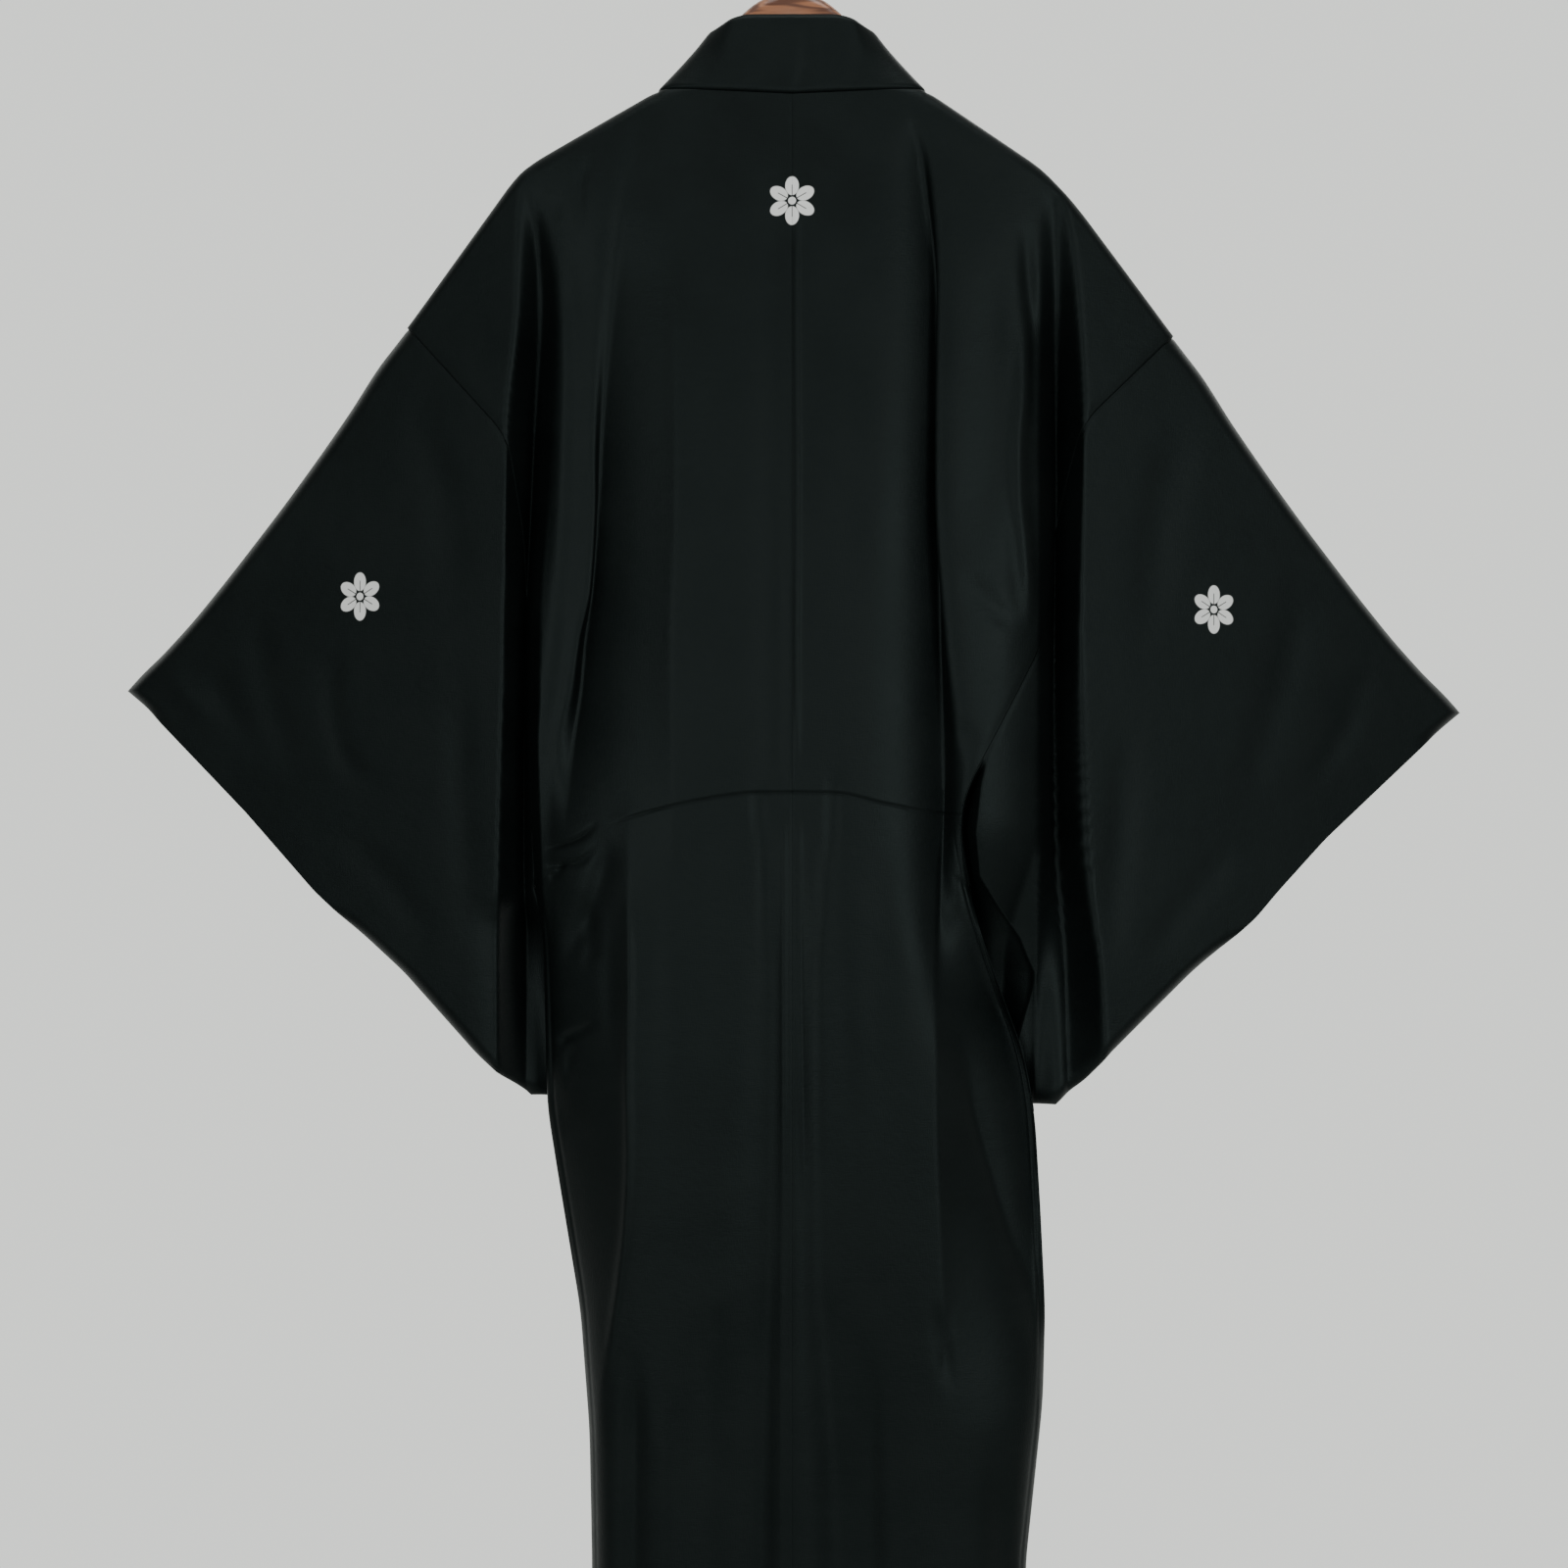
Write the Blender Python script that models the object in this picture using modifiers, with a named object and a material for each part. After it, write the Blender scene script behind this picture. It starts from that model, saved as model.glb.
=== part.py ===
"""A black crested kimono that hangs on a wooden hanger, seen from its back.

Metres, +Z up. The origin is the inner top of the hook, where a rod holds it. The garment's back
faces -Y and its front faces +Y. Places across the garment are given as "out", the distance from
the centre line, and "drop" is the cloth's length down from the shoulder fold.

Every panel is read from the same two surfaces, one for the back of the garment and one for its
front. Each is a flattened tube for the body, a deep valley where the cloth turns from the body to
the sleeve, and a flat sleeve that is swept forward, with long folds pressed into it.
"""
import math

import bmesh
import bpy
import numpy as np

# Cloth
WALL = 0.0015
COLLAR_WALL = 0.003
SEAM_PULL = 0.0013
COLLAR_PULL = 0.0014
CENTRE_GAP = 0.0006
FOLD_RADIUS = 0.011
FOOT_PULL = 0.0022
FOOT_CLEAR = 0.13

# Cut
LENGTH = 1.42
COLLAR_WIDTH = 0.056
NECK_HALF_WIDTH = 0.100
FRONT_SEAM_OUT = 0.065
OKUMI_DROP = 0.27
COLLAR_END_DROP = 0.80
FRONT_EDGE_PAST_CENTRE = 0.085
CUFF_OPENING = 0.24

# Hang
SLEEVE_SWEEP = math.radians(20)
SLEEVE_SAG = {
    "share": (0.0, 0.08, 0.21, 0.34, 0.47, 0.60, 0.73, 0.86, 0.95, 1.0),
    "sag": (0.0, 0.0, 0.007, 0.0112, 0.0132, 0.0135, 0.0124, 0.0078, 0.002, 0.0),
}
VALLEY = {
    "height": (-0.20, -0.30, -0.40, -0.68, -0.80, -0.90),
    "depth": (0.0, 0.016, 0.034, 0.034, 0.020, 0.010),
}
VALLEY_POWER = 1.2
SLEEVE_HALF_GAP = 0.016
HEM_DROOP_KEPT = 0.55
UNDER_FRONT = 0.010

SIDES = {"left": -1.0, "right": 1.0}
NECK_SHARES = (0.0, 0.3, 0.6, 0.8, 0.9, 0.955)

# Top edge of the cloth, from the centre of the neck out to the cuff
TOP_EDGE = {
    "left": {
        "place": ("centre", "neck", "hanger end", "turn", "armhole top", "sleeve tip"),
        "out": (0.0, 0.100, 0.192, 0.206, 0.291, 0.522),
        "height": (-0.1455, -0.141, -0.194, -0.205, -0.313, -0.585),
    },
    "right": {
        "place": ("centre", "neck", "hanger end", "turn", "armhole top", "sleeve tip"),
        "out": (0.0, 0.100, 0.186, 0.213, 0.288, 0.526),
        "height": (-0.1455, -0.141, -0.199, -0.227, -0.320, -0.602),
    },
}

# Seam between the body and the sleeve, from the shoulder fold to the foot of the armhole
ARMHOLE = {
    "left": {
        "out": (0.291, 0.212, 0.203, 0.199, 0.196, 0.194),
        "height": (-0.313, -0.400, -0.470, -0.585, -0.680, -0.735),
    },
    "right": {
        "out": (0.288, 0.216, 0.203, 0.186, 0.154, 0.130, 0.1235, 0.1250, 0.1310),
        "height": (-0.320, -0.390, -0.450, -0.553, -0.614, -0.658, -0.682, -0.705, -0.735),
    },
}

# Closed foot of each sleeve, from the armhole to the rounded corner, and the depth it lies at
SLEEVE_FOOT = {
    "left": {
        "out": (0.1985, 0.1960, 0.1860, 0.1800, 0.1800, 0.1830),
        "height": (-0.735, -0.755, -0.785, -0.820, -0.865, -0.893),
        "depth": (0.030, 0.032, 0.033, 0.033, 0.030, 0.028),
    },
    "right": {
        "out": (0.1360, 0.1440, 0.1480, 0.1560, 0.1700, 0.1830),
        "height": (-0.735, -0.760, -0.790, -0.825, -0.865, -0.899),
        "depth": (-0.020, 0.012, 0.022, 0.026, 0.027, 0.027),
    },
}
FOOT_REACH = 0.030

# Cuff edge, from the sleeve's tip to the rounded corner
CUFF_EDGE = {
    "left": {
        "out": (0.522, 0.5015, 0.4193, 0.3631, 0.3400, 0.2937, 0.2358, 0.2188, 0.2062, 0.1975),
        "height": (-0.585, -0.600, -0.680, -0.740, -0.760, -0.800, -0.860, -0.875, -0.885, -0.893),
    },
    "right": {
        "out": (0.526, 0.5007, 0.4096, 0.3702, 0.3519, 0.3023, 0.2366, 0.2198, 0.2077, 0.1985),
        "height": (-0.602, -0.620, -0.700, -0.740, -0.760, -0.800, -0.860, -0.880, -0.890, -0.899),
    },
}

# Side seam of the body, from the foot of the armhole to the hem, and the depth it lies at
SIDE_SEAM = {
    "left": {
        "out": (0.194, 0.187, 0.185, 0.183, 0.174, 0.158, 0.151, 0.149, 0.156),
        "height": (-0.735, -0.775, -0.830, -0.900, -0.955, -1.050, -1.140, -1.243, -1.60),
        "depth": (0.030, 0.016, 0.010, 0.006, 0.004, 0.002, 0.000, 0.000, 0.000),
    },
    "right": {
        "out": (0.131, 0.139, 0.148, 0.160, 0.171, 0.178, 0.182, 0.186, 0.189, 0.187, 0.174, 0.180),
        "height": (-0.735, -0.766, -0.791, -0.824, -0.852, -0.881, -0.910, -0.980, -1.050, -1.120, -1.243, -1.60),
        "depth": (-0.020, -0.014, -0.008, -0.002, 0.002, 0.004, 0.004, 0.004, 0.002, 0.000, 0.000, 0.000),
    },
}

# Half width of the body tube, and where the sleeve's near side of the valley lies
BODY_WIDTH = {
    "height": (-0.205, -0.290, -0.400, -0.585, -0.694, -0.804, -0.900),
    "left_body": (0.190, 0.176, 0.180, 0.190, 0.188, 0.184, 0.182),
    "left_sleeve": (0.202, 0.203, 0.212, 0.215, 0.216, 0.208, 0.203),
    "right_body": (0.186, 0.184, 0.184, 0.184, 0.184, 0.183, 0.183),
    "right_sleeve": (0.202, 0.212, 0.217, 0.211, 0.209, 0.206, 0.203),
}

# Depth of the body tube in front of and behind the hanger
BODY_DEPTH = {
    "height": (-0.150, -0.250, -0.450, -0.700, -1.000, -1.600),
    "back": (0.0135, 0.021, 0.032, 0.038, 0.042, 0.048),
    "front": (0.0135, 0.023, 0.036, 0.044, 0.048, 0.052),
}

# Long folds of the back: a path of heights and outs, how far the cloth goes in, and the half
# widths of the fold toward the centre and toward the side
BACK_FOLDS = (
    {"name": "right overlap", "side": "right", "height": (-0.16, -0.30, -0.68, -1.05),
     "out": (0.090, 0.110, 0.114, 0.108), "depth": 0.020, "inner": 0.026, "outer": 0.009},
    {"name": "right knee", "side": "right", "height": (-1.05, -1.24, -1.60),
     "out": (0.040, 0.036, 0.034), "depth": 0.014, "inner": 0.014, "outer": 0.012},
    {"name": "left chest", "side": "left", "height": (-0.28, -0.45, -0.75),
     "out": (0.145, 0.145, 0.148), "depth": 0.016, "inner": 0.014, "outer": 0.011},
    {"name": "left hip", "side": "left", "height": (-0.66, -0.95, -1.08, -1.16),
     "out": (0.128, 0.126, 0.136, 0.146), "depth": 0.014, "inner": 0.008, "outer": 0.026},
    {"name": "left of the centre seam", "side": "left", "height": (-0.95, -1.24, -1.60),
     "out": (0.020, 0.021, 0.022), "depth": 0.012, "inner": 0.010, "outer": 0.014},
)
FRONT_FOLDS = (
    {"name": "left front, outer", "side": "left", "height": (-0.35, -0.80, -1.60),
     "out": (0.135, 0.130, 0.122), "depth": 0.020, "inner": 0.014, "outer": 0.014},
    {"name": "left front, inner", "side": "left", "height": (-0.85, -1.20, -1.60),
     "out": (0.040, 0.036, 0.034), "depth": 0.008, "inner": 0.020, "outer": 0.020},
    {"name": "right front, outer", "side": "right", "height": (-0.30, -0.75, -1.60),
     "out": (0.118, 0.124, 0.130), "depth": 0.018, "inner": 0.014, "outer": 0.014},
    {"name": "right front, inner", "side": "right", "height": (-0.90, -1.25, -1.60),
     "out": (0.030, 0.034, 0.036), "depth": 0.008, "inner": 0.020, "outer": 0.020},
)
FOLD_FADE = 0.09

# Free edge of the collar round the neck, for one side, by the length along the band
COLLAR_EDGE = {
    "along": (0.0, 0.030, 0.055, 0.075, 0.088, 0.100, 0.115, 0.145, 0.190),
    "out": (0.0, 0.030, 0.048, 0.055, 0.062, 0.068, 0.069, 0.058, 0.040),
    "depth": (-0.0145, -0.0140, -0.0130, -0.0120, 0.000, 0.012, 0.024, 0.030, 0.028),
    "height": (-0.0865, -0.0865, -0.0895, -0.0925, -0.097, -0.103, -0.114, -0.152, -0.208),
}

# Hanger and hook
HANGER_HUMP = {
    "out": (0.0, 0.022, 0.040, 0.060, 0.080, 0.096, 0.110),
    "top": (-0.064, -0.072, -0.086, -0.113, -0.1365, -0.1455, -0.1485),
}
HANGER_TALL = {"out": (0.0, 0.060, 0.180), "tall": (0.027, 0.032, 0.019)}
HANGER_REACH = {"left": 0.185, "right": 0.179}
HANGER_HALF_THICK = 0.0094
HOOK_WIRE = 0.002
HOOK_RADIUS = 0.024
HOOK_FOOT = -0.0646


def smooth(start, end, value):
    """Soft step from 0 at start to 1 at end."""
    share = np.clip((value - start) / (end - start), 0.0, 1.0)
    return share * share * (3.0 - 2.0 * share)


def rounding(distance, radius):
    """Share of the full half thickness at a distance from a rounded, closed edge."""
    share = 1.0 - np.clip(distance / radius, 0.0, 1.0)
    return np.sqrt(1.0 - share * share)


def down(table, value, column):
    """A table's column at a height, where the heights run downward."""
    heights = np.asarray(table["height"])[::-1]
    return np.interp(value, heights, np.asarray(table[column])[::-1])


def top_height(side, out):
    """Height of the cloth's top edge, which sags between the armhole and the sleeve's tip."""
    edge = TOP_EDGE[side]
    outs = np.asarray(edge["out"])
    share = np.clip((out - outs[-2]) / (outs[-1] - outs[-2]), 0.0, 1.0)
    return np.interp(out, outs, edge["height"]) - np.interp(share, SLEEVE_SAG["share"], SLEEVE_SAG["sag"])


def fold_relief(folds, side, out, height):
    """Sum of the folds at a place: each is a bell across its path, faded in at its top end."""
    total = np.zeros(np.broadcast(out, height).shape)
    for fold in folds:
        if fold["side"] != side:
            continue
        offset = out - down(fold, height, "out")
        width = np.where(offset < 0.0, fold["inner"], fold["outer"])
        top, foot = fold["height"][0], fold["height"][-1]
        fade = smooth(top + 0.01, top - FOLD_FADE, height)
        if foot > -1.5:
            fade = fade * smooth(foot - 0.01, foot + FOLD_FADE, height)
        total = total + fold["depth"] * fade * np.exp(-((offset / width) ** 2))
    return total


def middle_depth(side, out, height):
    """Depth of the cloth's middle layer: the valley beside the body, then the swept sleeve."""
    body = down(BODY_WIDTH, height, side + "_body")
    sleeve = down(BODY_WIDTH, height, side + "_sleeve")
    across = np.clip((out - body) / (sleeve - body), 0.0, 1.0)
    valley = down(VALLEY, height, "depth") * np.sin(np.pi * across) ** VALLEY_POWER
    return valley + math.tan(SLEEVE_SWEEP) * np.clip(out - sleeve, 0.0, None)


def top_share(side, out, height):
    """Share of the full thickness under the rounded shoulder fold, open at the neck."""
    share = rounding(top_height(side, out) - height, FOLD_RADIUS)
    neck = np.sqrt(1.0 - np.clip(out / NECK_HALF_WIDTH, 0.0, 1.0) ** 8)
    return neck + (1.0 - neck) * share


def body_bulge(side, out, height, face):
    """Half thickness of the body tube at a place, down to the fold's radius at its side."""
    body = down(BODY_WIDTH, height, side + "_body")
    below = down(SIDE_SEAM[side], height, "out")
    body = np.where(height < ARMHOLE[side]["height"][-1], np.maximum(below, 0.16), body)
    share = np.clip(out / body, 0.0, 1.0) ** 6
    full = down(BODY_DEPTH, height, face)
    return FOLD_RADIUS + (full - FOLD_RADIUS) * (1.0 - share)


def back_depth(side, out, height):
    """Depth of the garment's back surface."""
    bulge = body_bulge(side, out, height, "back")
    relief = fold_relief(BACK_FOLDS, side, out, height)
    return middle_depth(side, out, height) + (relief - bulge) * top_share(side, out, height)


def front_depth(side, out, height):
    """Depth of the garment's front surface, with the right front laid under the left one."""
    bulge = body_bulge(side, out, height, "front")
    relief = fold_relief(FRONT_FOLDS, side, out, height)
    return middle_depth(side, out, height) + (bulge - relief) * top_share(side, out, height)


def under_shift(side, out, drop, end):
    """How far the right front lies inside the left one, where they cross."""
    if side == "left":
        return np.zeros(np.broadcast(out, drop).shape)
    share = smooth(0.172, 0.142, out) * smooth(0.0, 0.03, end - out)
    return -UNDER_FRONT * share * smooth(0.13, OKUMI_DROP, drop)


def armhole_openness(side, height):
    """1 along the open armhole, down to 0 at its foot."""
    foot = ARMHOLE[side]["height"][-1]
    return np.where(height > foot + 0.0001, 0.45 + 0.55 * smooth(foot, foot + 0.06, height), 0.0)


def seam_middle(side, out, height):
    """Depth half way between the sleeve's two layers on the armhole seam."""
    bulge = body_bulge(side, out, height, "back")
    relief = fold_relief(BACK_FOLDS, side, out, height)
    return middle_depth(side, out, height) - bulge + relief + FOLD_RADIUS


def side_depth(side, height):
    """Depth of the side seam, which starts on the foot of the armhole."""
    seam = SIDE_SEAM[side]
    foot = float(seam_middle(side, np.array(seam["out"][0]), np.array(seam["height"][0])))
    depths = (foot,) + seam["depth"][1:]
    return np.interp(-height, -np.asarray(seam["height"]), depths)


def height_at(side, out, drop):
    """Height of a point by its drop: the sides hang lower, less so toward the hem."""
    fall = top_height(side, out) - TOP_EDGE[side]["height"][1]
    kept = 1.0 - (1.0 - HEM_DROOP_KEPT) * smooth(0.6, LENGTH, drop)
    return TOP_EDGE[side]["height"][1] + fall * kept - drop


def edge_line(side):
    """The body's outer edge, armhole then side seam, as a fine run of outs and heights."""
    armhole = ARMHOLE[side]
    seam = SIDE_SEAM[side]
    heights = np.linspace(armhole["height"][0], -1.60, 1500)
    upper = down(armhole, heights, "out")
    lower = down(seam, heights, "out")
    return np.where(heights > armhole["height"][-1], upper, lower), heights


def edge_out(side, drops):
    """Where the body's outer edge lies for each drop."""
    outs, heights = edge_line(side)
    reach = np.linspace(0.0, LENGTH, 1500)
    found = []
    for drop in reach:
        gap = np.abs(height_at(side, outs, drop) - heights)
        found.append(outs[int(np.argmin(gap))])
    found[0] = TOP_EDGE[side]["out"][4]
    return np.interp(drops, reach, found)


def drop_of(side, height):
    """Drop at which the body's outer edge reaches a height."""
    reach = np.linspace(0.0, LENGTH, 600)
    heights = height_at(side, edge_out(side, reach), reach)
    return float(np.interp(-height, -heights, reach))


def row_drops(side):
    """Drops of the rows: close at the fold, at the sleeve's tip, the armhole's foot and the hem."""
    tip = drop_of(side, TOP_EDGE[side]["height"][-1])
    foot = drop_of(side, ARMHOLE[side]["height"][-1])
    fold = [0.0, 0.0016, 0.005, 0.0095, 0.02]
    upper = [0.05, 0.10, 0.15, 0.205, OKUMI_DROP, 0.33]
    middle = list(np.linspace(tip, foot, 5))
    lower = [foot + 0.025, foot + 0.055, foot + 0.10]
    hem = [COLLAR_END_DROP, 0.90, 1.0, 1.1, 1.2, 1.31, LENGTH]
    return np.array(fold + upper + middle + lower + hem), foot


def spread(side, start, end, height, count):
    """Outs from start to end at one height, closer together on folds and in the valley."""
    fine = np.linspace(start, end, 240)
    weight = np.ones(fine.size)
    for fold in BACK_FOLDS + FRONT_FOLDS:
        if fold["side"] == side and fold["height"][-1] < height + 0.05 and height < fold["height"][0]:
            weight += 2.2 * np.exp(-(((fine - down(fold, height, "out")) / 0.016) ** 2))
    body = down(BODY_WIDTH, height, side + "_body")
    sleeve = down(BODY_WIDTH, height, side + "_sleeve")
    near = (body + sleeve) / 2.0
    depth_share = down(VALLEY, height, "depth") / max(VALLEY["depth"])
    weight += 9.0 * depth_share * np.exp(-(((fine - near) / 0.016) ** 2))
    weight += 5.0 * np.exp(-((end - fine) / 0.006))
    run = np.concatenate(([0.0], np.cumsum((weight[1:] + weight[:-1]) / 2.0)))
    return np.interp(np.linspace(0.0, run[-1], count), run, fine)


def add_sheet(shell, points):
    """Add a grid of points to the shell as quads."""
    rows, columns = points.shape[:2]
    corners = [shell.verts.new(point) for point in points.reshape(-1, 3)]
    for row in range(rows - 1):
        for column in range(columns - 1):
            first = row * columns + column
            shell.faces.new((corners[first], corners[first + 1],
                             corners[first + columns + 1], corners[first + columns]))


def pull_edge(points, edge, amount):
    """Pull one edge of a grid back along the cloth, which leaves the gap at a seam."""
    moved = points.copy()
    pairs = {"outer": ((slice(None), -1), (slice(None), -2)), "inner": ((slice(None), 0), (slice(None), 1))}
    rim, next_in = pairs[edge]
    step = points[next_in] - points[rim]
    length = np.linalg.norm(step, axis=-1, keepdims=True)
    moved[rim] = points[rim] + step / np.maximum(length, 1e-9) * np.minimum(amount, length * 0.5)
    return moved


def cloth_object(name, sheets, wall, material, collection):
    """One cloth wall from its sheets, joined where their edges meet."""
    shell = bmesh.new()
    for sheet in sheets:
        add_sheet(shell, sheet)
    bmesh.ops.remove_doubles(shell, verts=shell.verts, dist=0.00002)
    bmesh.ops.dissolve_degenerate(shell, edges=shell.edges, dist=0.00002)
    bmesh.ops.recalc_face_normals(shell, faces=shell.faces)
    mesh = bpy.data.meshes.new(name)
    shell.to_mesh(mesh)
    shell.free()
    mesh.materials.append(material)
    mesh.shade_smooth()
    piece = bpy.data.objects.new(name, mesh)
    collection.objects.link(piece)
    solid = piece.modifiers.new("wall", "SOLIDIFY")
    solid.thickness = wall
    solid.offset = 0.0
    return piece


def body_sheets(side):
    """Back and front sheets of one body length, joined over the shoulder and down the side."""
    sign = SIDES[side]
    drops, foot = row_drops(side)
    out_columns = 14
    back, front = [], []
    for drop in drops:
        end = float(edge_out(side, drop))
        edge_height = float(height_at(side, np.array(end), drop))
        inner = float(np.interp(drop, (0.0, OKUMI_DROP), (NECK_HALF_WIDTH, FRONT_SEAM_OUT)))
        shown = np.concatenate((CENTRE_GAP + (inner - CENTRE_GAP) * np.array(NECK_SHARES),
                                spread(side, inner, end, edge_height + 0.06, out_columns)))
        heights = height_at(side, shown, drop)
        middle = float(seam_middle(side, np.array(end), np.array(edge_height)))
        half = FOLD_RADIUS * float(top_share(side, np.array(end), np.array(edge_height)))
        if drop > foot - 1e-6:
            middle = float(side_depth(side, edge_height))
            half = 0.0
        half = half * float(armhole_openness(side, edge_height))
        reach_back = 0.016
        reach_front = 0.024
        at_end = np.array(end)
        bend_back = 1.0 - rounding(end - shown, reach_back)
        bend_front = 1.0 - rounding(end - shown, reach_front)
        y_back = back_depth(side, shown, heights)
        y_front = front_depth(side, shown, heights) + under_shift(side, shown, drop, end)
        y_back = y_back + bend_back * (middle - half - float(back_depth(side, at_end, edge_height)))
        y_front = y_front + bend_front * (middle + half - float(front_depth(side, at_end, edge_height)))
        back.append(np.stack((sign * shown, y_back, heights), axis=1))
        cut = len(NECK_SHARES)
        front.append(np.stack((sign * shown[cut:], y_front[cut:], heights[cut:]), axis=1))
    back, front = np.array(back), np.array(front)
    armhole = drops < foot - 1e-6
    near_foot = drops > foot - FOOT_CLEAR
    for sheet in (back, front):
        for rows, amount in ((armhole & ~near_foot, SEAM_PULL), (armhole & near_foot, FOOT_PULL)):
            sheet[rows, -1] = pull_edge(sheet, "outer", amount)[rows, -1]
    front[1:] = pull_edge(front, "inner", SEAM_PULL)[1:]
    return back, front


def okumi_sheet(side):
    """The front overlap: from the front seam across the centre to its own edge."""
    sign = SIDES[side]
    drops = row_drops(side)[0]
    drops = drops[drops > OKUMI_DROP - 1e-6]
    other = "left" if side == "right" else "right"
    rows = []
    for drop in drops:
        edge = float(np.interp(drop, (OKUMI_DROP, COLLAR_END_DROP), (FRONT_SEAM_OUT, -0.075)))
        if drop > COLLAR_END_DROP:
            edge = float(np.interp(drop, (COLLAR_END_DROP, 1.0), (-0.075, -FRONT_EDGE_PAST_CENTRE)))
        outs = np.linspace(FRONT_SEAM_OUT, edge, 8)
        own = outs >= 0.0
        distance = np.abs(outs)
        heights = np.where(own, height_at(side, distance, drop), height_at(other, distance, drop))
        depths = np.where(own, front_depth(side, distance, heights), front_depth(other, distance, heights))
        shift = -UNDER_FRONT * float(smooth(0.13, OKUMI_DROP, drop)) if side == "right" else 0.0
        rows.append(np.stack((sign * outs, depths + shift, heights), axis=1))
    rows = np.array(rows)
    rows = pull_edge(rows, "inner", SEAM_PULL)
    return pull_edge(rows, "outer", SEAM_PULL)


def sleeve_sheets(side):
    """Back and front layers of one sleeve: open at the armhole and the cuff, closed elsewhere."""
    sign = SIDES[side]
    drops, foot_drop = row_drops(side)
    drops = drops[drops < foot_drop + 1e-6]
    outs = edge_out(side, drops)
    armhole_heights = height_at(side, outs, drops)
    foot = SLEEVE_FOOT[side]["height"]
    span = foot[0] - foot[-1]
    lower = foot[0] - span * np.array((0.14, 0.28, 0.45, 0.62, 0.78, 0.90, 0.96, 0.985, 1.0))
    heights = np.concatenate((armhole_heights, lower))
    tip_out, tip_height = TOP_EDGE[side]["out"][-1], TOP_EDGE[side]["height"][-1]
    edge_outs = np.linspace(TOP_EDGE[side]["out"][-2], tip_out, 200)
    edge_heights = top_height(side, edge_outs)
    cuff_end = tip_height - CUFF_OPENING * 0.68
    back, front = [], []
    for row, height in enumerate(heights):
        if row < outs.size - 1:
            inner = float(outs[row])
        else:
            inner = float(down(SLEEVE_FOOT[side], height, "out"))
        if height > tip_height:
            outer = float(np.interp(-height, -edge_heights, edge_outs))
        else:
            outer = float(down(CUFF_EDGE[side], height, "out"))
        across = spread_sleeve(side, inner, outer, height, 14)
        level = np.full(across.shape, height)
        thick = FOLD_RADIUS + (SLEEVE_HALF_GAP - FOLD_RADIUS) * smooth(0.215, 0.30, across)
        centre = seam_middle(side, across, level) + (thick - FOLD_RADIUS)
        opening = float(armhole_openness(side, height)) if row < outs.size else 0.0
        inner_share = opening + (1.0 - opening) * rounding(across - inner, 0.018)
        cuff = float(smooth(tip_height, tip_height - 0.03, height) * smooth(cuff_end - 0.03, cuff_end, height))
        outer_share = cuff + (1.0 - cuff) * rounding(outer - across, 0.014)
        bottom_share = float(rounding(np.array(height - heights[-1]), 0.012))
        share = inner_share * outer_share * bottom_share
        if row < outs.size:
            share = share * top_share(side, across, level)
        if row == outs.size - 1:
            share[0] = 0.0
            centre = centre + (float(side_depth(side, height)) - centre[0]) * np.exp(-(across - inner) / 0.01)
        if row >= outs.size:
            aim = float(down(SLEEVE_FOOT[side], height, "depth"))
            centre = centre + (aim - centre[0]) * np.exp(-(((across - inner) / FOOT_REACH) ** 2))
        back.append(np.stack((sign * across, centre - thick * share, level), axis=1))
        front.append(np.stack((sign * across, centre + thick * share, level), axis=1))
    back, front = np.array(back), np.array(front)
    armhole = heights > foot[0] + 0.0001
    near_foot = heights < foot[0] + FOOT_CLEAR
    for sheet in (back, front):
        for rows, amount in ((armhole & ~near_foot, SEAM_PULL), (armhole & near_foot, FOOT_PULL)):
            sheet[rows, 0] = pull_edge(sheet, "inner", amount)[rows, 0]
    return back, front


def spread_sleeve(side, inner, outer, height, count):
    """Outs across a sleeve at one height, closer in the valley and at the outer edge."""
    fine = np.linspace(inner, outer, 300)
    body = float(down(BODY_WIDTH, height, side + "_body"))
    sleeve = float(down(BODY_WIDTH, height, side + "_sleeve"))
    weight = 1.0 + 12.0 * np.exp(-(((fine - (body + sleeve) / 2.0) / 0.014) ** 2))
    weight += 5.0 * np.exp(-((outer - fine) / 0.006))
    run = np.concatenate(([0.0], np.cumsum((weight[1:] + weight[:-1]) / 2.0)))
    return np.interp(np.linspace(0.0, run[-1], count), run, fine)


def front_point(side, out, drop):
    """A point on the garment's front, where an out below zero lies past the centre line."""
    other = "left" if side == "right" else "right"
    name = side if out >= 0.0 else other
    distance = np.array(abs(out))
    height = height_at(name, distance, drop)
    shift = -UNDER_FRONT * float(smooth(0.13, OKUMI_DROP, drop)) if side == "right" else 0.0
    return np.array((out, float(front_depth(name, distance, height)) + shift, float(height)))


def collar_seam(side):
    """The seam that the collar is sewn to: half of the neck, then the front edge of the cloth."""
    seam = []
    for out in (0.0, 0.030, 0.060, 0.080, 0.090, 0.0955):
        depth = -BODY_DEPTH["back"][0] * math.sqrt(1.0 - (out / NECK_HALF_WIDTH) ** 8)
        seam.append((None, np.array((out, depth, float(top_height(side, np.array(out)))))))
    for drop in row_drops(side)[0]:
        if drop < COLLAR_END_DROP + 1e-6:
            if drop < OKUMI_DROP:
                out = float(np.interp(drop, (0.0, OKUMI_DROP), (NECK_HALF_WIDTH, FRONT_SEAM_OUT)))
            else:
                out = float(np.interp(drop, (OKUMI_DROP, COLLAR_END_DROP), (FRONT_SEAM_OUT, -0.075)))
            seam.append((drop, front_point(side, out, drop)))
    return seam


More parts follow.
